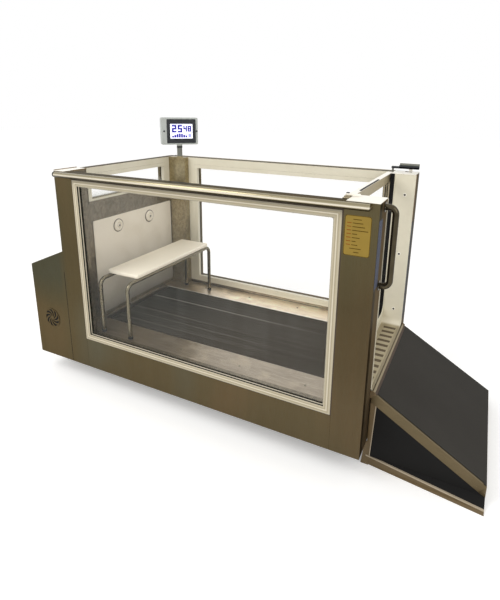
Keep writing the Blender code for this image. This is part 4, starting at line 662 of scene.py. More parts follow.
class TREADMILL_OT_finishes(bpy.types.Operator):
    """Make every finish that the pieces use."""

    bl_idname = "treadmill.finishes"
    bl_label = "Finishes"

    def execute(self, context):
        """Make the materials from the colours in the panel."""
        tone = context.scene.treadmill_finish
        # Walls were ground up and down and rails along their length, so the light's streaks follow.
        steel = (tone.steel, tone.steel_warm, tone.steel_cool)
        ground_steel("Ground stainless, upright grain", *steel, 2, shaded=True, edge=0.35)
        ground_steel("Ground stainless, level grain", *steel, 0)
        ground_steel("Ground stainless, door", "#b3a78c", "#bcae92", "#a39983", 1, clouds=5.0)
        # The door frame gets its own copy of the stainless, toned apart from the walls for the light its
        # faces catch: painted shade and reflection.
        ground_steel("Ground stainless, doorway", "#84735a", "#93795a", "#766c5a", 2, shine=0.42, clouds=4.0,
                     edge=0.3)
        ground_steel("Ground stainless, inside", tone.inside, opaque(tone.inside, 0.8),
                     opaque(tone.inside, 0.62), 0, clouds=9.0, mottle=0.45)
        ground_steel("Ground stainless, column", tone.column, opaque(tone.column, 0.7),
                     opaque(tone.column, 0.6), 2, clouds=9.0, contrast=0.9, mottle=0.4)
        ground_steel("Ground stainless, ramp", "#766950", "#84745a", "#665b46", 0, clouds=5.0)
        ground_steel("Ground stainless, ramp frame", "#74674d", "#7f7156", "#625944", 0, clouds=5.0)
        deck_steel("Wet deck stainless", tone.deck)
        # Tubes, screws and turned parts were polished, and lines burnt or etched, so they are smoother.
        rail = span_of("front_handrail", "xz")
        rail_steel("Polished stainless rail", *rail[2:])
        polished_steel("Polished stainless tube", tone.tube, 0.16, 1.12)
        # The handle is a darker copy of the bench's polished tube: painted reflection of the dark
        # surroundings it mirrors.
        polished_steel("Polished handle tube", tone.handle, 0.14, 1.6)
        polished_steel("Bright screw steel", "#8d8879", 0.24)
        polished_steel("Scorched weld seam", "#3f3421", 0.45)
        polished_steel("Turned roller steel", "#8f8d88", 0.3)
        polished_steel("Satin brass plate", tone.plate, 0.34, 1.15)
        polished_steel("Engraved brass line", "#4a3512", 0.5)
        polished_steel("Red brass line", "#8d4c22", 0.5)
        # Powder coats, paints and moulded plastics are all even skins with a soft sheen.
        # Painted shadow: the front frame darkens just under the rail.
        rail_foot = spot(0, 0, 1.165).z
        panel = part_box("jet_panel")[0].z
        powder_coat("Front frame powder coat", tone.frame, 0.4, 0.10,
                    (rail_foot, rail_foot + 0.040, 1.0, 0.72))
        powder_coat("White sheet plastic", tone.white, 0.45, 0.12, (panel, panel + 0.33, 0.30, 1.0))
        powder_coat("Cream powder coat", tone.cream, 0.32, 0.08)
        powder_coat("White cap coat", "#fffaee", 0.25, 0.06)
        # A darker copy of the white cap coat: painted shade, so that the white beads' upright sides read
        # beige.
        powder_coat("Frame bead coat", "#d8cfb8", 0.25, 0.06)
        # A paler copy of the angle paint: a painted highlight on the angle irons' edges.
        powder_coat("Pale angle paint", "#b3a58e", 0.5, 0.15)
        powder_coat("Brown angle paint", "#6b593b", 0.5, 0.15)
        # Painted shade under the threshold's grate.
        powder_coat("Worn threshold coat", "#5b4e39", 0.6, 0.15)
        powder_coat("Trodden grate coat", "#a89c7f", 0.45, 0.15)
        powder_coat("Taupe sealing strip", "#8f8268", 0.6, 0.05)
        # Painted shade of the front frame's groove.
        powder_coat("Pale sealing strip", "#b0a489", 0.6, 0.05)
        powder_coat("Bench board plastic", tone.seat, 0.36, 0.01)
        powder_coat("Black moulded plastic", "#1b1f23", 0.42, 0.02)
        powder_coat("Grey pipe plastic", "#8e9192", 0.4, 0.05)
        powder_coat("Display case plastic", tone.case, 0.4, 0.05)
        powder_coat("Blue machine paint", "#2f4b66", 0.35, 0.08)
        powder_coat("Grey machine paint", "#77786f", 0.42, 0.08)
        powder_coat("Protective film", tone.film, 0.6, 0.12)
        powder_coat("Dark edge film", "#15161b", 0.6, 0.05)
        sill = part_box("jamb_liner")[0].z
        liner_coat("Trodden liner coat", tone.cream, "#a79a7c", sill + 0.003, sill + 0.012)
        # Rubber's pebbles are some millimetres apart, so its face stays dull from every side.
        pebbled_rubber("Black moulded rubber", "#131211", 0.002, 0.15, 0.05)
        pebbled_rubber("Brown hinge rubber", "#54483e", 0.002, 0.15, 0.08)
        pebbled_rubber("Pebbled ramp rubber", tone.ramp, 0.0035, 0.3, 0.22)
        belt_rubber("Belt rubber", tone.belt, tone.belt_line)
        tank_glass("Toughened glass")
        pane = span_of("left_window_pane", "yz")
        middle = (pane[2] + pane[3]) / 2
        tank_glass("Misted glass", (middle - 0.06, middle - 0.01, 0.26, 0.0))
        lit_screen("Display backlight", "#f1f2ff", 0.95)
        lit_screen("Display blue ink", "#2b21a3", 0.30)
        lit_screen("Display pale ink", "#9a9fdc", 0.55)
        return {"FINISHED"}


# Lines on the bare plate: start and reach of each, from its left edge
PLATE_RULES = ((0.036, 0.036), (0.034, 0.045), (0.034, 0.054), (0.034, 0.068), (0.034, 0.022), (0.034, 0.034),
               (0.034, 0.018), (0.034, 0.026), (0.026, 0.050), (0.044, 0.024))


class TREADMILL_OT_walls(bpy.types.Operator):
    """Dress the tank's walls and lining, with the seams where sheets are welded."""

    bl_idname = "treadmill.walls"
    bl_label = "Walls"

    def execute(self, context):
        """Finish the wall sheets and add the ground seams, the corner cap and the bare plate."""
        trim = context.scene.treadmill_trim
        dress("Ground stainless, upright grain", trim.soft_edge, 2, "front_wall", "rear_wall", "left_wall")
        paint("Ground stainless, inside", "tank_lining")
        dress("Ground stainless, level grain", trim.soft_edge, 2, "base_frame")

        width = 0.0009
        seams = [(spot(x, -0.00015, 0.004), spot(x + width, 0.0005, 0.199)) for x in (0.1425, 1.7475)]
        seams += [(spot(x, TANK_WIDTH - 0.0005, 0.004), spot(x + width, TANK_WIDTH + 0.00015, 0.256))
                  for x in (0.282, 1.698)]
        block_piece("wall_seams", "Scorched weld seam", seams)
        # Thin black strips paint the shadow in the gap between the housing and the tank.
        block_piece("housing_joint", "Black moulded rubber",
                    [(spot(-0.0022, y, 0.001), spot(-0.0002, y + 0.0010, 0.620))
                     for y in (-0.0006, TANK_WIDTH - 0.0004)])

        reach = 0.170
        block_piece("corner_cap", "White cap coat",
                    [(spot(0.0030, 0.0012, TOP), spot(0.080, reach, TOP + trim.cap))], 0.0009, even=True)
        block_piece("corner_cap_lips", "Ground stainless, doorway",
                    [(spot(0.0006, 0.0012, TOP), spot(0.0028, reach, TOP + 0.0075)),
                     (spot(0.0802, 0.0520, TOP - 0.0045), spot(0.0828, reach, TOP + 0.0030))],
                    0.0006, even=True)

        # The plate by the door is bare: a ruled border and empty lines, with nothing written on it.
        corner, far = spot(1.757, 0, 1.015), spot(1.871, 0, 1.193)
        plate = (corner.x, far.x, corner.z, far.z)
        face = corner.y - 0.0011
        bm = start_bmesh()
        add_prism(bm, rounded_outline(plate, 0.010), "y", corner.y, face)
        round_sharp_edges(bm, 0.0004, 2, 50)
        finish_piece("bare_plate", bm, "Satin brass plate", even=True)
        lines = start_bmesh()
        red = start_bmesh()
        ink = (face - 0.0001, face + 0.0002)
        add_ring(lines, "y", inset_box(plate, 0.0007), inset_box(plate, 0.0024), *ink, radius=0.0085)
        for n, (start, reach) in enumerate(PLATE_RULES):
            z = plate[3] - 0.019 - 0.0160 * n
            add_block(lines, (plate[0] + start, ink[0], z), (plate[0] + start + reach, ink[1], z + 0.0030))
            if 0 < n < len(PLATE_RULES) - 2:
                add_block(red, (plate[0] + 0.010, ink[0], z), (plate[0] + 0.029, ink[1], z + 0.0034))
        finish_piece("plate_rules", lines, "Engraved brass line")
        finish_piece("plate_red_rules", red, "Red brass line")
        return {"FINISHED"}


class TREADMILL_OT_windows(bpy.types.Operator):
    """Dress the windows: frames, panes, seals and the cream trim inside the tank."""

    bl_idname = "treadmill.windows"
    bl_label = "Windows"

    def execute(self, context):
        """Finish the frames and panes, then lay the strips in their grooves."""
        trim = context.scene.treadmill_trim
        dress("Front frame powder coat", 0.0016, 3, "front_window_frame")
        dress("Cream powder coat", trim.soft_edge, 2, "rear_window_clamp", "left_window_clamp")
        paint("Toughened glass", "front_window_pane", "rear_window_pane")
        paint("Misted glass", "left_window_pane")

        # A white bead stands in the frame's groove between two thin tan rings, which are painted shade of the
        # groove.
        outer = span_of("front_window_frame", "xz")
        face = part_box("front_window_frame")[0].y
        wall = spot(0, 0, 0).y
        ring_piece("front_window_bead", "Frame bead coat", "y",
                   [(inset_box(outer, 0.0156), inset_box(outer, 0.0222), face + 0.0026, face - 0.0020)],
                   bevel=0.0016, segments=3)
        ring_piece("front_window_sealant", "Pale sealing strip", "y",
                   [(inset_box(outer, start), inset_box(outer, end), face + 0.0002, face - 0.0002)
                    for start, end in ((0.0088, 0.0146), (0.0234, 0.0282))])
        # A dark ring round the frame's outer edge, on the wall, is painted shadow of the frame.
        ring_piece("front_window_joint", "Brown hinge rubber", "y",
                   [(inset_box(outer, -0.0052), inset_box(outer, -0.0002), wall + 0.0001, wall - 0.0009)])

        # Behind the pane the opening has a cream lip with rounded corners.
        hole = inset_box(outer, 0.0225)
        ring_piece("front_reveal_lip", "Cream powder coat", "y",
                   [(hole, inset_box(hole, 0.0060), spot(0, 0.034, 0).y, spot(0, 0.0520, 0).y)], 0.022)
        hole = inset_box(outer, FRAME_BAND)
        # A black rubber bead lies behind the pane; the second, thin black ring lines the opening's edge as
        # painted shade of that edge.
        ring_piece("front_glazing_bead", "Black moulded rubber", "y",
                   [(inset_box(hole, -0.0005), inset_box(hole, 0.0022), face + 0.0190, face + 0.0222),
                    (inset_box(hole, -0.0002), inset_box(hole, 0.0007), face + 0.0018, face + 0.0096)])
        ring_piece("front_inner_bead", "Frame bead coat", "y",
                   [(inset_box(hole, -0.0002), inset_box(hole, 0.0040), face + 0.0098, face + 0.0128)], 0.010)

        # Inside the tank the rear and left windows sit in broad cream trims.
        hole = inset_box(span_of("rear_window_clamp", "xz"), -0.0006)
        near = TANK_WIDTH - INSIDE
        corner = spot(0.2005, near, DECK_HEIGHT + 0.0205)
        end = spot(1.7565, near - trim.trim, TANK_HEIGHT - 0.0012)
        ring_piece("rear_inner_trim", "Cream powder coat", "y",
                   [((corner.x, end.x, corner.z, end.z), hole, corner.y, end.y)], bevel=0.0006)
        clamp = span_of("left_window_clamp", "yz")
        hole = inset_box(clamp, -0.0006)
        corner, end = spot(INSIDE, 0.196, 1.0215), spot(INSIDE + trim.trim, 1.019, TANK_HEIGHT - 0.0012)
        outer = (corner.y, end.y, min(corner.z, hole[2] - 0.001), end.z)
        ring_piece("left_inner_trim", "Cream powder coat", "x",
                   [(outer, hole, corner.x, end.x)], bevel=0.0006)

        # A steel ledge covers the lower half of the left window's trim, and a dark bead lies on its sill.
        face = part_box("left_window_clamp")[1].x
        sill = clamp[2] + 0.026
        block_piece("left_window_ledge", "Ground stainless, inside",
                    [((face + 0.0003, outer[0] - 0.001, outer[2] - 0.002),
                      (face + 0.0023, outer[1], clamp[2] + 0.0125))], 0.0006, even=True)
        block_piece("left_window_sill_bead", "Taupe sealing strip",
                    [((face - 0.006, clamp[0] + 0.026, sill + 0.0002),
                      (face - 0.001, clamp[1] - 0.026, sill + 0.0050))], 0.0006)
        return {"FINISHED"}


class TREADMILL_OT_jets(bpy.types.Operator):
    """Dress the jet panel and its eyeball nozzles."""

    bl_idname = "treadmill.jets"
    bl_label = "Jets"

    def execute(self, context):
        """Finish the panel, then ring the sockets with seals."""
        trim = context.scene.treadmill_trim
        dress("White sheet plastic", trim.soft_edge, 2, "jet_panel")
        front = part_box("jet_panel")[1].x
        for end in ("front", "rear"):
            dress("White sheet plastic", 0.0006, 2, "jet_socket_" + end)
            dress("White sheet plastic", 0.0, 2, "jet_ball_" + end)
            low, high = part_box("jet_socket_" + end)
            centre = (low + high) / 2
            rim = (high.z - low.z) / 2
            centre.x = front
            # The dark seal round the socket is drawn wide, so that it also paints the socket's shadow
            # crescent.
            profile = [(0.0, rim + 0.0002), (0.0010, rim + 0.0042), (0.0028, rim + 0.0036),
                       (0.0030, rim + 0.0002), (0.0, rim + 0.0002)]
            spun_piece("jet_seal_" + end, "Brown hinge rubber", profile, [centre], (1, 0, 0), 56)
            centre.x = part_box("jet_ball_" + end)[1].x
            bore = [(-0.006, 0.0), (-0.006, 0.0118), (-0.0036, 0.0122), (-0.0030, 0.0092), (-0.0030, 0.0)]
            spun_piece("jet_bore_" + end, "Black moulded plastic", bore, [centre], (1, 0, 0), 28,
                       end + "_jet")
        return {"FINISHED"}


class TREADMILL_OT_doorway(bpy.types.Operator):
    """Dress the doorway: posts, caps, liner, slots, seal and screws."""

    bl_idname = "treadmill.doorway"
    bl_label = "Doorway"

    def execute(self, context):
        """Finish the posts and the liner, and add caps, slot shades, film and screws."""
        trim = context.scene.treadmill_trim
        dress("Ground stainless, doorway", trim.soft_edge, 2, "door_frame")
        dress("Trodden liner coat", 0.0006, 2, "jamb_liner")
        dress("Black moulded rubber", 0.0015, 3, "door_gasket")

        plane, end = TANK_LENGTH - POST_DEPTH - 0.0005, TANK_LENGTH + 0.0005
        cap = TOP + trim.cap
        block_piece("post_caps", "White cap coat",
                    [(spot(plane, near, TOP), spot(end, far, cap))
                     for near, far in ((0.0008, POST_WIDTH + 0.0025),
                                       (TANK_WIDTH - POST_WIDTH - 0.0025, TANK_WIDTH - 0.0008))],
                    0.0009, even=True)

        # Towards the door the liner stands up in a sill whose corners sweep into the jambs.
        liner_low, liner_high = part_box("jamb_liner")
        sill, lip, sweep = 0.076, 0.0036, 0.058
        near, far = liner_low.y + 0.0032, liner_high.y - 0.0032
        foot, top = liner_low.z + 0.0036, liner_high.z - 0.004
        ledge = foot + sill
        points = [(far, foot), (far, top), (far - lip, top)]
        steps = 8
        for centre, turn in ((far - lip - sweep, 0), (near + lip + sweep, -90)):
            for step in range(steps + 1):
                angle = math.radians(turn - 90 * step / steps)
                points.append((centre + sweep * math.cos(angle), ledge + sweep * (1 + math.sin(angle))))
        points += [(near + lip, top), (near, top), (near, foot)]
        bm = start_bmesh()
        face = liner_low.x + 0.0006
        add_prism(bm, points, "x", face, face + 0.0034)
        round_sharp_edges(bm, 0.0009)
        finish_piece("liner_sill", bm, "Cream powder coat", even=True)

        # A grate of pale bars covers the threshold over a dark plate, which is painted shade in its slots.
        floor = liner_low.z + 0.0037
        left, right = spot(1.802, 0, 0).x, spot(1.8935, 0, 0).x
        near, far = spot(0, 0.176, 0).y, spot(0, 0.944, 0).y
        block_piece("threshold_shade", "Worn threshold coat",
                    [((left, near, floor), (right - 0.002, far + 0.0022, floor + 0.0006))])
        bm = start_bmesh()
        low, high = floor + 0.0006, floor + 0.0036
        add_block(bm, (left, near, low), (left + 0.007, far, high), 0.0010)
        add_block(bm, (right - 0.0105, near, low), (right, far, high + 0.0006), 0.0012)
        bars = 13
        pitch = (far - near) / (bars - 0.45)
        for n in range(bars):
            start = near + pitch * n
            add_block(bm, (left + 0.005, start, low),
                      (right - 0.009, start + pitch * 0.52, high - 0.0003), 0.0009)
        finish_piece("threshold_grate", bm, "Trodden grate coat", even=True)

        screws = start_bmesh()
        washers = start_bmesh()
        washer = [(0.0, 0.006), (0.0, 0.0105), (0.0009, 0.0098), (0.0010, 0.006), (0.0, 0.006)]
        wall = POST_WIDTH + 0.0038
        for z in (1.127, 0.753, 0.38):
            for y, normal in ((TANK_WIDTH - wall, -1), (wall, 1)):
                place = spot(1.847, y, z)
                add_screws(screws, [place], (0, normal, 0), trim.screw * 1.45)
                add_spun(washers, washer, place, (0, normal, 0), 28)
        finish_piece("liner_screws", screws, "Scorched weld seam")
        finish_piece("liner_washers", washers, "White cap coat")

        face = TANK_LENGTH + 0.0001
        block_piece("film_rest", "Protective film",
                    [(spot(face, 0.006, 0.868), spot(face + 0.0003, 0.0745, 1.176))], 0.00012, 1)
        block_piece("edge_film", "Dark edge film",
                    [(spot(face, TANK_WIDTH - 0.1415, 0.300),
                      spot(face + 0.0003, TANK_WIDTH - 0.045, 0.955))], 0.00012, 1)
        block_piece("cap_mark", "Brown hinge rubber",
                    [(spot(1.822, 1.066, cap), spot(1.862, 1.084, cap + 0.0012))], 0.0004)
        return {"FINISHED"}


class TREADMILL_OT_door(bpy.types.Operator):
    """Dress the door: leaf, glass, bead, top strips, hinge screws and latch."""

    bl_idname = "treadmill.door"
    bl_label = "Door"

    def execute(self, context):
        """Finish the leaf and add its bead, top strips and screws."""
        dress("Ground stainless, door", 0.0015, 2, "door_leaf")
        dress("Ground stainless, upright grain", 0.0004, 1, "door_hinge_leaf", "post_hinge_leaf")
        dress("White cap coat", 0.002, 3, "latch_lever")
        paint("Toughened glass", "door_glass")

        low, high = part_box("door_leaf")
        hole = (low.y + 0.080, high.y - 0.080, low.z + 0.070, spot(0, 0, TANK_HEIGHT - 0.050).z)
        glass_low, glass_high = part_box("door_glass")
        ring_piece("door_glazing_bead", "Black moulded rubber", "x",
                   [(inset_box(hole, -0.0002), inset_box(hole, 0.004), near, far)
                    for near, far in ((glass_high.x + 0.0002, glass_high.x + 0.004),
                                      (glass_low.x - 0.0002, glass_low.x - 0.004))], body="door")
        top = spot(0, 0, TOP).z
        block_piece("door_top_strip", "White cap coat",
                    [((low.x + 0.003, low.y + 0.052, top), (high.x - 0.001, high.y - 0.004, top + 0.0014))],
                    0.0004, body="door", even=True)
        block_piece("door_top_seal", "Black moulded rubber",
                    [((high.x - 0.0105, spot(0, 0.265, 0).y, top + 0.0014),
                      (high.x - 0.0015, spot(0, 0.660, 0).y, top + 0.0042))], 0.0010, 3, "door", even=True)

        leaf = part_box("door_hinge_leaf")[0].x + 0.0140
        screws = 8
        places = [(leaf, spot(0, y, 0).y, spot(0, 0, 0.33 + 0.12 * n).z) for n in range(screws)
                  for y in (0.988, 1.010)]
        screw_piece("hinge_screws", "Bright screw steel", map(Vector, places), (-1, 0, 0), 0.0040,
                    body="door")
        low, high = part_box("latch_lever")
        half = (high.y - low.y) / 2
        cap = [(-0.0005, 0.0), (-0.0005, half * 0.8), (0.0022, half * 0.8), (0.0034, half * 0.6),
               (0.0034, 0.0)]
        spun_piece("latch_cap", "Black moulded plastic", cap, [Vector((low.x + half, low.y + half, high.z))],
                   (0, 0, 1), 28, "latch")
        return {"FINISHED"}


class TREADMILL_OT_rails(bpy.types.Operator):
    """Dress the handrails, the grab handle and the bar on the rear post."""

    bl_idname = "treadmill.rails"
    bl_label = "Rails"

    def execute(self, context):
        """Turn finer rails and bend a finer handle in place of the CAD ones."""
        for name, outward in (("front_handrail", -1), ("rear_handrail", 1)):
            low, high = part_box(name)
            radius = (high.z - low.z) / 2
            y, wall = (low.y + radius, high.y) if outward < 0 else (high.y - radius, low.y)
            z = (low.z + high.z) / 2
            start = low.x + 0.0295
            run = high.x - start
            bm = start_bmesh()
            profile = [(0.0, 0.0), (0.0, radius * 0.55), (0.0025, radius * 0.88), (0.007, radius),
                       (run / 2, radius), (run - 0.007, radius), (run - 0.0025, radius * 0.88),
                       (run, radius * 0.55), (run, 0.0)]
            add_spun(bm, profile, Vector((start, y, z)), (1, 0, 0), 48)
            for share in (0.06, 0.5, 0.94):
                x = start + run * share
                add_block(bm, (x - 0.015, min(y, wall), z - 0.008),
                          (x + 0.015, max(y, wall), z + 0.008), 0.0015)
            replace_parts(finish_piece(name + "_tube", bm, "Polished stainless rail"), name)
            plug = [(0.0, 0.0), (0.0, radius * 0.9), (0.002, radius), (0.005, radius), (0.005, 0.0)]
            spun_piece(name + "_plug", "Black moulded plastic", plug, [Vector((start - 0.0048, y, z))],
                       (1, 0, 0), 40)

        low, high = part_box("grab_handle")
        radius = 0.0145
        base = 0.023
        y = (low.y + high.y) / 2
        far = high.x - radius
        ends = (high.z - base, low.z + base)
        corners = [(low.x, y, ends[0]), (far, y, ends[0]), (far, y, ends[1]), (low.x, y, ends[1])]
        bm = start_bmesh()
        add_tube(bm, bent_path(corners, 0.030, 10), radius, 8)
        rosette = [(0.0, 0.0), (0.0, base - 0.0002), (0.0022, base), (0.0038, base - 0.003),
                   (0.0044, radius + 0.001), (0.0044, 0.0)]
        for z in ends:
            add_spun(bm, rosette, Vector((low.x, y, z)), (1, 0, 0), 36)
        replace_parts(finish_piece("grab_handle_tube", bm, "Polished handle tube"), "grab_handle")
        places = [Vector((low.x + 0.0036, y + 0.0190 * side, z)) for z in ends for side in (-1, 1)]
        screw_piece("rosette_screws", "Bright screw steel", places, (1, 0, 0), 0.0026, 10)

        low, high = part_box("rear_post_bar")
        radius = 0.0085
        y = (low.y + high.y) / 2
        top = high.z + 0.0105
        near, far = low.y + 0.001, high.y - 0.001
        piece = block_piece("rear_bar_base", "Black moulded plastic",
                            [((high.x - 0.166, near, low.z + 0.0190), (high.x - 0.001, far, low.z + 0.0315)),
                             ((high.x - 0.120, near, low.z + 0.0200),
                              (high.x - 0.001, far, top - radius * 1.5))], 0.002, 3, even=True)
        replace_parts(piece, "rear_post_bar")
        block_piece("rear_bar_spacer", "White cap coat",
                    [((high.x - 0.060, y - 0.004, low.z + 0.0040),
                      (high.x - 0.040, y + 0.010, low.z + 0.0200))])
        bm = start_bmesh()
        reach = 0.117
        profile = [(0.0, 0.0), (0.0, radius * 0.8), (0.0015, radius), (reach - 0.0015, radius),
                   (reach, radius * 0.8), (reach, 0.0)]
        add_spun(bm, profile, Vector((high.x - reach, y, top - radius)), (1, 0, 0), 28)
        hook = [(low.x + 0.007, y, low.z + 0.001), (low.x + 0.007, y, low.z + 0.0255),
                (high.x - 0.150, y, low.z + 0.0255)]
        add_tube(bm, bent_path(hook, 0.010, 6), 0.0062, 4)
        finish_piece("rear_bar", bm, "Grey machine paint")
        return {"FINISHED"}


class TREADMILL_OT_belt(bpy.types.Operator):
    """Dress the running belt, its rollers, frame, drive and the deck round it."""

    bl_idname = "treadmill.belt"
    bl_label = "Belt and deck"

    def execute(self, context):
        """Finish the belt and deck, edge the deck and screw it down."""
        trim = context.scene.treadmill_trim
        dress("Belt rubber", 0.0, 2, "running_belt")
        dress("Grey pipe plastic", 0.001, 2, "belt_bed")
        dress("Ground stainless, level grain", 0.0006, 1, "belt_frame")
        dress("Turned roller steel", 0.0, 2, "drive_roller", "idler_roller")
        dress("Wet deck stainless", trim.soft_edge, 2, "deck_surround")
        dress("Black moulded rubber", 0.0, 2, "drive_belt")
        dress("Turned roller steel", 0.0, 2, "motor_pulley")
        dress("Blue machine paint", 0.0015, 2, "drive_motor")

        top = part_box("deck_surround")[1].z
        low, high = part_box("running_belt")
        edge = high.y + 0.0036
        block_piece("deck_edge_strip", "White cap coat",
                    [((low.x + 0.02, edge, top - 0.0002), (high.x - 0.02, edge + 0.0045, top + 0.0012))],
                    0.0005, even=True)
        rim = 0.127
        places = [Vector((*spot(x, y, 0).xy, top)) for y in (rim, TANK_WIDTH - rim)
                  for x in (0.391, 0.783, 1.175, 1.567)]
        screw_piece("deck_screws", "Bright screw steel", places, (0, 0, 1), 0.0060, 14)
        return {"FINISHED"}


class TREADMILL_OT_plant(bpy.types.Operator):
    """Dress the plant housing with its vent, and the water circuit in it."""

    bl_idname = "treadmill.plant"
    bl_label = "Plant housing"

    def execute(self, context):
        """Finish the housing, cut the swirl vent and finish pump, filter and pipes."""
        trim = context.scene.treadmill_trim
        dress("Ground stainless, upright grain", trim.soft_edge, 2, "housing_shell")
        dress("Ground stainless, level grain", trim.soft_edge, 2, "housing_lid")
        dress("Blue machine paint", 0.001, 2, "circulation_pump")
        dress("Display case plastic", 0.001, 2, "filter_canister")
        dress("Grey pipe plastic", 0.0, 2, "jet_riser")
        dress("Grey pipe plastic", 0.0006, 2, "drain_valve")
        dress("Blue machine paint", 0.001, 2, "drain_lever")

        # The vent is a flat disc with curved slots that sweep from its hub to its rim.
        low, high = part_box("vent_grille")
        radius = (high.z - low.z) / 2
        centre = Vector(((low.x + high.x) / 2, spot(0, 0, 0).y, (low.z + high.z) / 2))
        slots, bands, hub, half_slot, sweep = 9, 9, 0.006, 0.27, 1.25
        bm = start_bmesh()
        rows = []
        for band in range(bands + 1):
            share = band / bands
            reach = hub + (radius - hub) * share
            angles = [2 * math.pi * (n + side * (0.8 + 0.4 * share)) / slots + sweep * share
                      for n in range(slots) for side in (-half_slot, half_slot)]
            rows.append([bm.verts.new((reach * math.cos(angle), reach * math.sin(angle), 0.0))
                         for angle in angles])
        count = 2 * slots
        for band, (inner, outer) in enumerate(zip(rows, rows[1:])):
            for n in range(count):
                if n % 2 or band in (0, bands - 1):
                    after = (n + 1) % count
                    bm.faces.new((inner[n], inner[after], outer[after], outer[n]))
        bm.faces.new(rows[0])
        bmesh.ops.recalc_face_normals(bm, faces=bm.faces)
        bmesh.ops.solidify(bm, geom=bm.faces, thickness=0.0014)
        bmesh.ops.transform(bm, matrix=facing(centre + Vector((0, -0.0012, 0)), (0, -1, 0)), verts=bm.verts)
        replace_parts(finish_piece("swirl_vent", bm, "Ground stainless, upright grain"), "vent_grille")
        mesh = [(0.0001, 0.0), (0.0001, radius - 0.003), (0.0004, radius - 0.003), (0.0004, 0.0)]
        spun_piece("vent_mesh", "Black moulded rubber", mesh, [centre], (0, -1, 0), 40)

        low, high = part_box("housing_shell")
        places = [Vector((x, high.y, z)) for x in (low.x + 0.022, high.x - 0.022)
                  for z in (low.z + 0.03, low.z + 0.56)]
        screw_piece("housing_screws", "Bright screw steel", places, (0, 1, 0), 0.0036)
        return {"FINISHED"}


# The bars that are lit for each digit, lettered as on a seven-segment display
SEGMENTS = {"2": "abged", "4": "fgbc", "5": "afgcd", "8": "abcdefg"}


def add_digit(bm, digit, left, bottom, tall, depth):
    """A seven-segment digit in the XZ plane, its face at a depth along Y."""
    wide = tall * 0.62
    bar = tall * 0.23
    half = tall / 2
    bars = {
        "a": (0.0, tall - bar, wide, tall),
        "b": (wide - bar, half, wide, tall),
        "c": (wide - bar, 0.0, wide, half),
        "d": (0.0, 0.0, wide, bar),
        "e": (0.0, 0.0, bar, half),
        "f": (0.0, half, bar, tall),
        "g": (0.0, half - bar / 2, wide, half + bar / 2),
    }
    for name in SEGMENTS[digit]:
        x0, z0, x1, z1 = bars[name]
        add_block(bm, (left + x0, depth - INK, bottom + z0), (left + x1, depth, bottom + z1))


class TREADMILL_OT_display(bpy.types.Operator):
    """Dress the display: case, bezel, lit screen with plain numbers, screws and pole."""

    bl_idname = "treadmill.display"
    bl_label = "Display"

    def execute(self, context):
        """Finish the case and lay out a plain screen."""
        dress("Display case plastic", 0.0012, 3, "display_housing")
        dress("Black moulded plastic", 0.001, 2, "display_bezel")
        dress("Ground stainless, column", 0.0008, 2, "display_pole")
        place = spot(*POLE_PLACE)
        turned = Matrix.Translation((place.x, place.y, 0)) @ Matrix.Rotation(DISPLAY_TURN, 4, "Z")

        def finish_turned(name, bm, material, even=False):
            """Turn the piece with the display and finish it."""
            bmesh.ops.transform(bm, matrix=turned, verts=bm.verts)
            return finish_piece(name, bm, material, "display", even)

        low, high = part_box("display_screen")
        half = (high.x - low.x) / math.sqrt(2) - 0.001
        left, right = BEZEL_SHIFT - half, BEZEL_SHIFT + half
        bm = start_bmesh()
        add_block(bm, (left, SCREEN_FACE - 0.002, low.z), (right, SCREEN_FACE, high.z), 0.0006)
        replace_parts(finish_turned("screen_backlight", bm, "Display backlight", True), "display_screen")

        front = SCREEN_FACE - 0.0021
        bm = start_bmesh()
        for digits, start, pitch, rise, tall in (("25", 0.012, 0.043, 0.044, 0.056),
                                                 ("48", 0.098, 0.032, 0.050, 0.044)):
            for n, digit in enumerate(digits):
                add_digit(bm, digit, left + start + pitch * n, low.z + rise, tall, front)
        foot = low.z + 0.007
        for n, tall in enumerate((0.014, 0.020, 0.026, 0.030, 0.028, 0.022, 0.016)):
            side = left + 0.012 + 0.0168 * n
            add_block(bm, (side, front - INK, foot), (side + 0.014, front, foot + tall))
        finish_turned("screen_numbers", bm, "Display blue ink")
        bm = start_bmesh()
        add_block(bm, (left + 0.134, front - INK, low.z + 0.008), (left + 0.156, front, low.z + 0.034))
        add_block(bm, (left + 0.004, front - INK, high.z - 0.0045), (right - 0.004, front, high.z - 0.0020))
        finish_turned("screen_keys", bm, "Display pale ink")
        bm = start_bmesh()
        middle = (low.z + high.z) / 2
        add_screws(bm, [Vector((x, CASE_FACE, middle)) for x in (-0.1165, 0.1285)], (0, -1, 0), 0.0066, 16)
        finish_turned("case_screws", bm, "Black moulded plastic")

        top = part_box("display_pole")[1].z
        collar = [(0.0, 0.0188), (0.0, 0.0215), (0.010, 0.0215), (0.0125, 0.0200), (0.0125, 0.0188)]
        spun_piece("pole_collar", "Black moulded plastic", collar,
                   [Vector((place.x, place.y, top - 0.0130))], (0, 0, 1), 36)
        foot = spot(0, 0, TOP).z
        rise = top - foot - 0.014
        spun_piece("pole_sleeve", "Grey machine paint",
                   [(0.0, 0.0187), (0.0, 0.0196), (rise, 0.0196), (rise, 0.0187)],
                   [Vector((place.x, place.y, foot))], (0, 0, 1), 36)
        return {"FINISHED"}


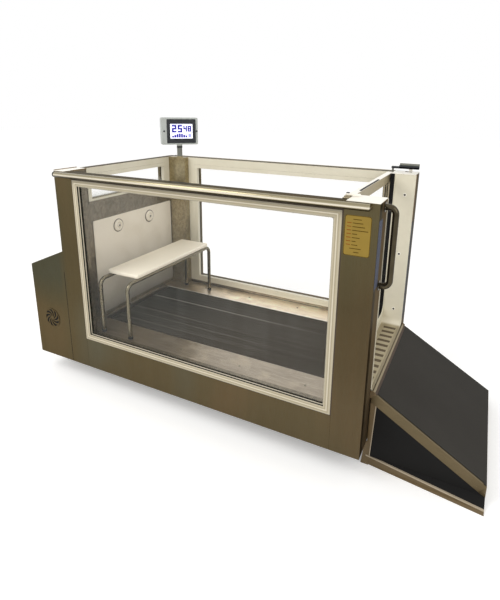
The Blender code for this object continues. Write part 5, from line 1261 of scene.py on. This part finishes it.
class TREADMILL_OT_bench(bpy.types.Operator):
    """Dress the bench: a rounded seat board on bent tubes with rubber feet."""

    bl_idname = "treadmill.bench"
    bl_label = "Bench"

    def execute(self, context):
        """Bend finer tubes in place of the CAD frame and finish the seat."""
        dress("Bench board plastic", 0.0, 2, "bench_seat")
        low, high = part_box("bench_frame")
        foot = 0.018
        radius = 0.0125
        xs = (low.x + foot, high.x - foot)
        ys = (low.y + foot, high.y - foot)
        top = high.z - radius
        start = low.z + 0.004
        bm = start_bmesh()
        for x in xs:
            corners = [(x, ys[0], start), (x, ys[0], top), (x, ys[1], top), (x, ys[1], start)]
            add_tube(bm, bent_path(corners, 0.045, 12), radius, 8)
        for y in (ys[0] + 0.200, ys[1] - 0.150):
            add_tube(bm, [(xs[0], y, top), (xs[1], y, top)], 0.010, 6)
        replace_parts(finish_piece("bench_tubes", bm, "Polished stainless tube", "bench"), "bench_frame")
        boot = [(0.0, 0.0), (0.0, 0.0132), (0.002, 0.0150), (0.009, 0.0152), (0.014, 0.0142),
                (0.014, radius + 0.0001)]
        spun_piece("bench_feet", "Black moulded rubber", boot,
                   [Vector((x, y, low.z)) for x in xs for y in ys], (0, 0, 1), 32, "bench")
        return {"FINISHED"}


def top_edge(x):
    """Height of the ramp deck's upper face, in tank coordinates."""
    return RAMP_TOP - RAMP_SLOPE * (x - RAMP_START)


def add_skirt(bm, outline, wall, outward, leans):
    """A plate on the ramp's side whose corners lean outward by the given reach."""
    near = wall + 0.0002 * outward
    known = set(bm.verts)
    places = [spot(x, 0, z) for x, z in outline]
    add_prism(bm, [(place.x, place.z) for place in places], "y", near, near + 0.0008 * outward)
    for vert in fresh_verts(bm, known):
        if (vert.co.y - near) * outward > 0.0004:
            closest = min(range(len(places)), key=lambda n: (places[n].xz - vert.co.xz).length)
            vert.co.y += outward * leans[closest]


def deck_strip(name, material, spans, lift):
    """Strips that lie on the ramp deck, each between two X places and two Y places."""
    bm = start_bmesh()
    cosine = math.cos(math.atan(RAMP_SLOPE))
    for start, end, near, far in spans:
        corners = ((start, lift), (end, lift), (end, 0.0003), (start, 0.0003))
        add_prism(bm, [(x, spot(0, 0, top_edge(x - TANK_CORNER.x)).z + rise / cosine) for x, rise in corners],
                  "y", near, far)
    finish_piece(name, bm, material, "ramp")


class TREADMILL_OT_ramp(bpy.types.Operator):
    """Dress the ramp: flanged deck, pebbled mat, frame, and black side panels that paint the shadow under it.
    """

    bl_idname = "treadmill.ramp"
    bl_label = "Ramp"

    def execute(self, context):
        """Finish the deck and frame and hang black panels over the frame's sides, as painted shadow of the
        space under the ramp.
        """
        trim = context.scene.treadmill_trim
        dress("Ground stainless, ramp", trim.soft_edge, 2, "ramp_deck")
        dress("Pebbled ramp rubber", 0.0006, 2, "ramp_mat")
        dress("Ground stainless, ramp frame", 0.001, 2, "ramp_frame")

        # A black skirt, painted shadow of the space under the ramp, leans outward below the deck's flanges,
        # down to angle irons whose top edges carry a pale painted highlight.
        low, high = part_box("ramp_frame")
        start, end = SKIRT_START, SKIRT_END
        inset = start + 0.010
        ground = FLOOR + 0.0004
        first, last = -0.079, -0.1225
        pale_edge = 0.0045
        underside_shadow, brown, pale = start_bmesh(), start_bmesh(), start_bmesh()
        post = ((1.9205, 0.052), (1.9245, 0.052))
        for wall, outward in ((low.y, -1), (high.y, 1)):
            for bm, outline, leans in (
                (underside_shadow, [(inset, first), (end, last), (end, top_edge(end) - FLANGE),
                          (inset, top_edge(inset) - FLANGE)], (0.010, 0.058, 0.0, 0.0)),
                (brown, [(start, ground), (end, ground), (end, last), (start, first)],
                 (0.006, 0.078, 0.060, 0.012)),
                (pale, [(start, first), (end, last), (end, last + pale_edge), (start, first + pale_edge)],
                 (0.0125, 0.0605, 0.0595, 0.0115)),
                (brown, [(1.8815, ground), (1.9205, ground), (1.9300, 0.2240), (start, 0.2240), (start, 0.0),
                         (1.8935, -0.0020)], (0.0125, 0.0125, 0.0012, 0.0012, 0.0060, 0.0060)),
                (pale, [*[(x, ground + rise) for x, rise in post], (1.9345, 0.2240), (1.9300, 0.2240)],
                 (0.0128, 0.0128, 0.0014, 0.0014)),
            ):
                add_skirt(bm, outline, wall, outward, leans)
        finish_piece("ramp_infill", underside_shadow, "Black moulded rubber")
        finish_piece("ramp_angle_irons", brown, "Brown angle paint")
        finish_piece("ramp_angle_edges", pale, "Pale angle paint")

        # The flanges run on to the deck's tip, where they are cut off upright.
        deck_low, deck_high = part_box("ramp_deck")
        bm = start_bmesh()
        tip = [spot(x, 0, z).xz for x, z in ((2.4275, -0.0794), (2.4569, -0.0968), (2.4569, -0.0370))]
        add_prism(bm, tip, "y", deck_low.y, deck_low.y + 0.0028)
        add_prism(bm, tip, "y", deck_high.y - 0.0028, deck_high.y)
        finish_piece("ramp_flange_tips", bm, "Ground stainless, ramp", "ramp")

        # Rubber covers the deck's rim past the mat and the strip by its hinge.
        mat_low, mat_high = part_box("ramp_mat")
        near, far = deck_low.y + 0.004, deck_high.y - 0.001
        outer = deck_high.x - 0.0012
        seam = deck_low.x + 0.0125
        deck_strip("ramp_rim_rubber", "Pebbled ramp rubber",
                   [(mat_high.x - 0.0008, outer, near, far),
                    (mat_low.x, outer, mat_high.y + 0.0002, far)], 0.0030)
        deck_strip("ramp_hinge_rubber", "Brown hinge rubber", [(seam, mat_low.x - 0.0006, near, far)], 0.0022)
        deck_strip("ramp_hinge_strip", "Taupe sealing strip",
                   [(deck_low.x + 0.003, seam - 0.0002, near, far)], 0.0024)
        return {"FINISHED"}


class TREADMILL_OT_feet(bpy.types.Operator):
    """Dress the levelling feet."""

    bl_idname = "treadmill.feet"
    bl_label = "Levelling feet"

    def execute(self, context):
        """Finish each foot."""
        dress("Turned roller steel", 0.0, 2, *[f"levelling_foot_{n}" for n in range(1, 7)])
        return {"FINISHED"}


# Where the photo was taken from, in tank coordinates, and how its frame is shifted
EYE = (2.26, -1.83, 1.62)
SHIFT = (-0.01676, -0.1136)
LAMPS = (("key_lamp", (-2.4, -3.2, 4.2), 2.6, "key"), ("fill_lamp", (3.6, -2.4, 3.0), 2.4, "fill"))


class TREADMILL_OT_stage(bpy.types.Operator):
    """Set the camera, lamps, surround and floor."""

    bl_idname = "treadmill.stage"
    bl_label = "Stage"

    def execute(self, context):
        """Make the stage round the treadmill."""
        scene = context.scene
        stage = scene.treadmill_stage
        scene.view_settings.view_transform = "Standard"

        turned = Matrix.Rotation(stage.azimuth, 4, "Z") @ Matrix.Rotation(math.pi / 2 - stage.pitch, 4, "X")
        turned = turned @ Matrix.Rotation(stage.roll, 4, "Z")
        camera = bpy.data.objects.new("camera", bpy.data.cameras.new("camera"))
        camera.data.lens = stage.focal
        camera.data.shift_x, camera.data.shift_y = SHIFT
        camera.data.clip_start = 0.05
        camera.data.clip_end = 60.0
        camera.matrix_world = Matrix.Translation(spot(*EYE)) @ turned
        bpy.context.collection.objects.link(camera)
        scene.camera = camera
        for name, place, size, power in LAMPS:
            lamp = bpy.data.objects.new(name, bpy.data.lights.new(name, "AREA"))
            lamp.data.energy = getattr(stage, power)
            lamp.data.size = size
            lamp.matrix_world = facing(Vector(place), Vector(place) - Vector((0, 0, 0.7)))
            bpy.context.collection.objects.link(lamp)

        # The surround is plain white to the eye and in reflections, and dimmer as a light.
        scene.world = bpy.data.worlds.new("surround")
        scene.world.use_nodes = True
        tree = scene.world.node_tree
        add = functools.partial(add_node, tree)
        seen = add("LightPath", output="Is Camera Ray")
        for rays in ("Is Glossy Ray", "Is Transmission Ray"):
            seen = add("Math", seen, add("LightPath", output=rays), operation="MAXIMUM")
        strength = add("MapRange", seen, 0.0, 1.0, stage.sky, 1.0)
        fill_inputs(tree.nodes["Background"], Color=(1, 1, 1, 1), Strength=strength)

        add, shader, place = start_material("Pale studio floor")
        speckle = add("TexNoise", Vector=place, Scale=3.0, Detail=2.0)
        tone = add("MixRGB", speckle, opaque(stage.floor, 0.99), opaque(stage.floor))
        glow = add("Math", add("LightPath", output="Is Camera Ray"), 0.28, operation="MULTIPLY")
        fill_inputs(shader, Base_Color=tone, Roughness=0.9,
                    Emission_Color=(1, 1, 1, 1), Emission_Strength=glow)
        bm = start_bmesh()
        bmesh.ops.create_grid(bm, x_segments=1, y_segments=1, size=30.0)
        mesh = bpy.data.meshes.new("floor")
        bm.to_mesh(mesh)
        bm.free()
        mesh.materials.append(bpy.data.materials["Pale studio floor"])
        floor = bpy.data.objects.new("floor", mesh)
        bpy.context.collection.objects.link(floor)
        return {"FINISHED"}


OPERATORS = (
    TREADMILL_OT_finishes,
    TREADMILL_OT_walls,
    TREADMILL_OT_windows,
    TREADMILL_OT_jets,
    TREADMILL_OT_doorway,
    TREADMILL_OT_door,
    TREADMILL_OT_rails,
    TREADMILL_OT_belt,
    TREADMILL_OT_plant,
    TREADMILL_OT_display,
    TREADMILL_OT_bench,
    TREADMILL_OT_ramp,
    TREADMILL_OT_feet,
    TREADMILL_OT_stage,
)


class TREADMILL_PT_panel(bpy.types.Panel):
    """Lists the treadmill's settings and steps in the sidebar."""

    bl_idname = "TREADMILL_PT_panel"
    bl_label = "Treadmill"
    bl_space_type = "VIEW_3D"
    bl_region_type = "UI"
    bl_category = "Treadmill"

    def draw(self, context):
        """Draw each settings group, then one button for each step."""
        for name in GROUPS:
            group = getattr(context.scene, name)
            box = self.layout.box()
            for key in group.__annotations__:
                box.prop(group, key)
        for operator in OPERATORS:
            self.layout.operator(operator.bl_idname)


GROUPS = {
    "treadmill_finish": FinishSettings,
    "treadmill_trim": TrimSettings,
    "treadmill_stage": StageSettings,
}
CLASSES = (*GROUPS.values(), *OPERATORS, TREADMILL_PT_panel)


def register():
    """Register the classes and hang the settings on the scene."""
    for item in CLASSES:
        bpy.utils.register_class(item)
    for name, group in GROUPS.items():
        setattr(bpy.types.Scene, name, bpy.props.PointerProperty(type=group))


def unregister():
    """Take the settings and classes away again."""
    for name in GROUPS:
        delattr(bpy.types.Scene, name)
    for item in reversed(CLASSES):
        bpy.utils.unregister_class(item)


def main():
    """Dress the treadmill."""
    register()
    for operator in OPERATORS:
        group, name = operator.bl_idname.split(".")
        getattr(getattr(bpy.ops, group), name)()


if __name__ == "__main__":
    main()
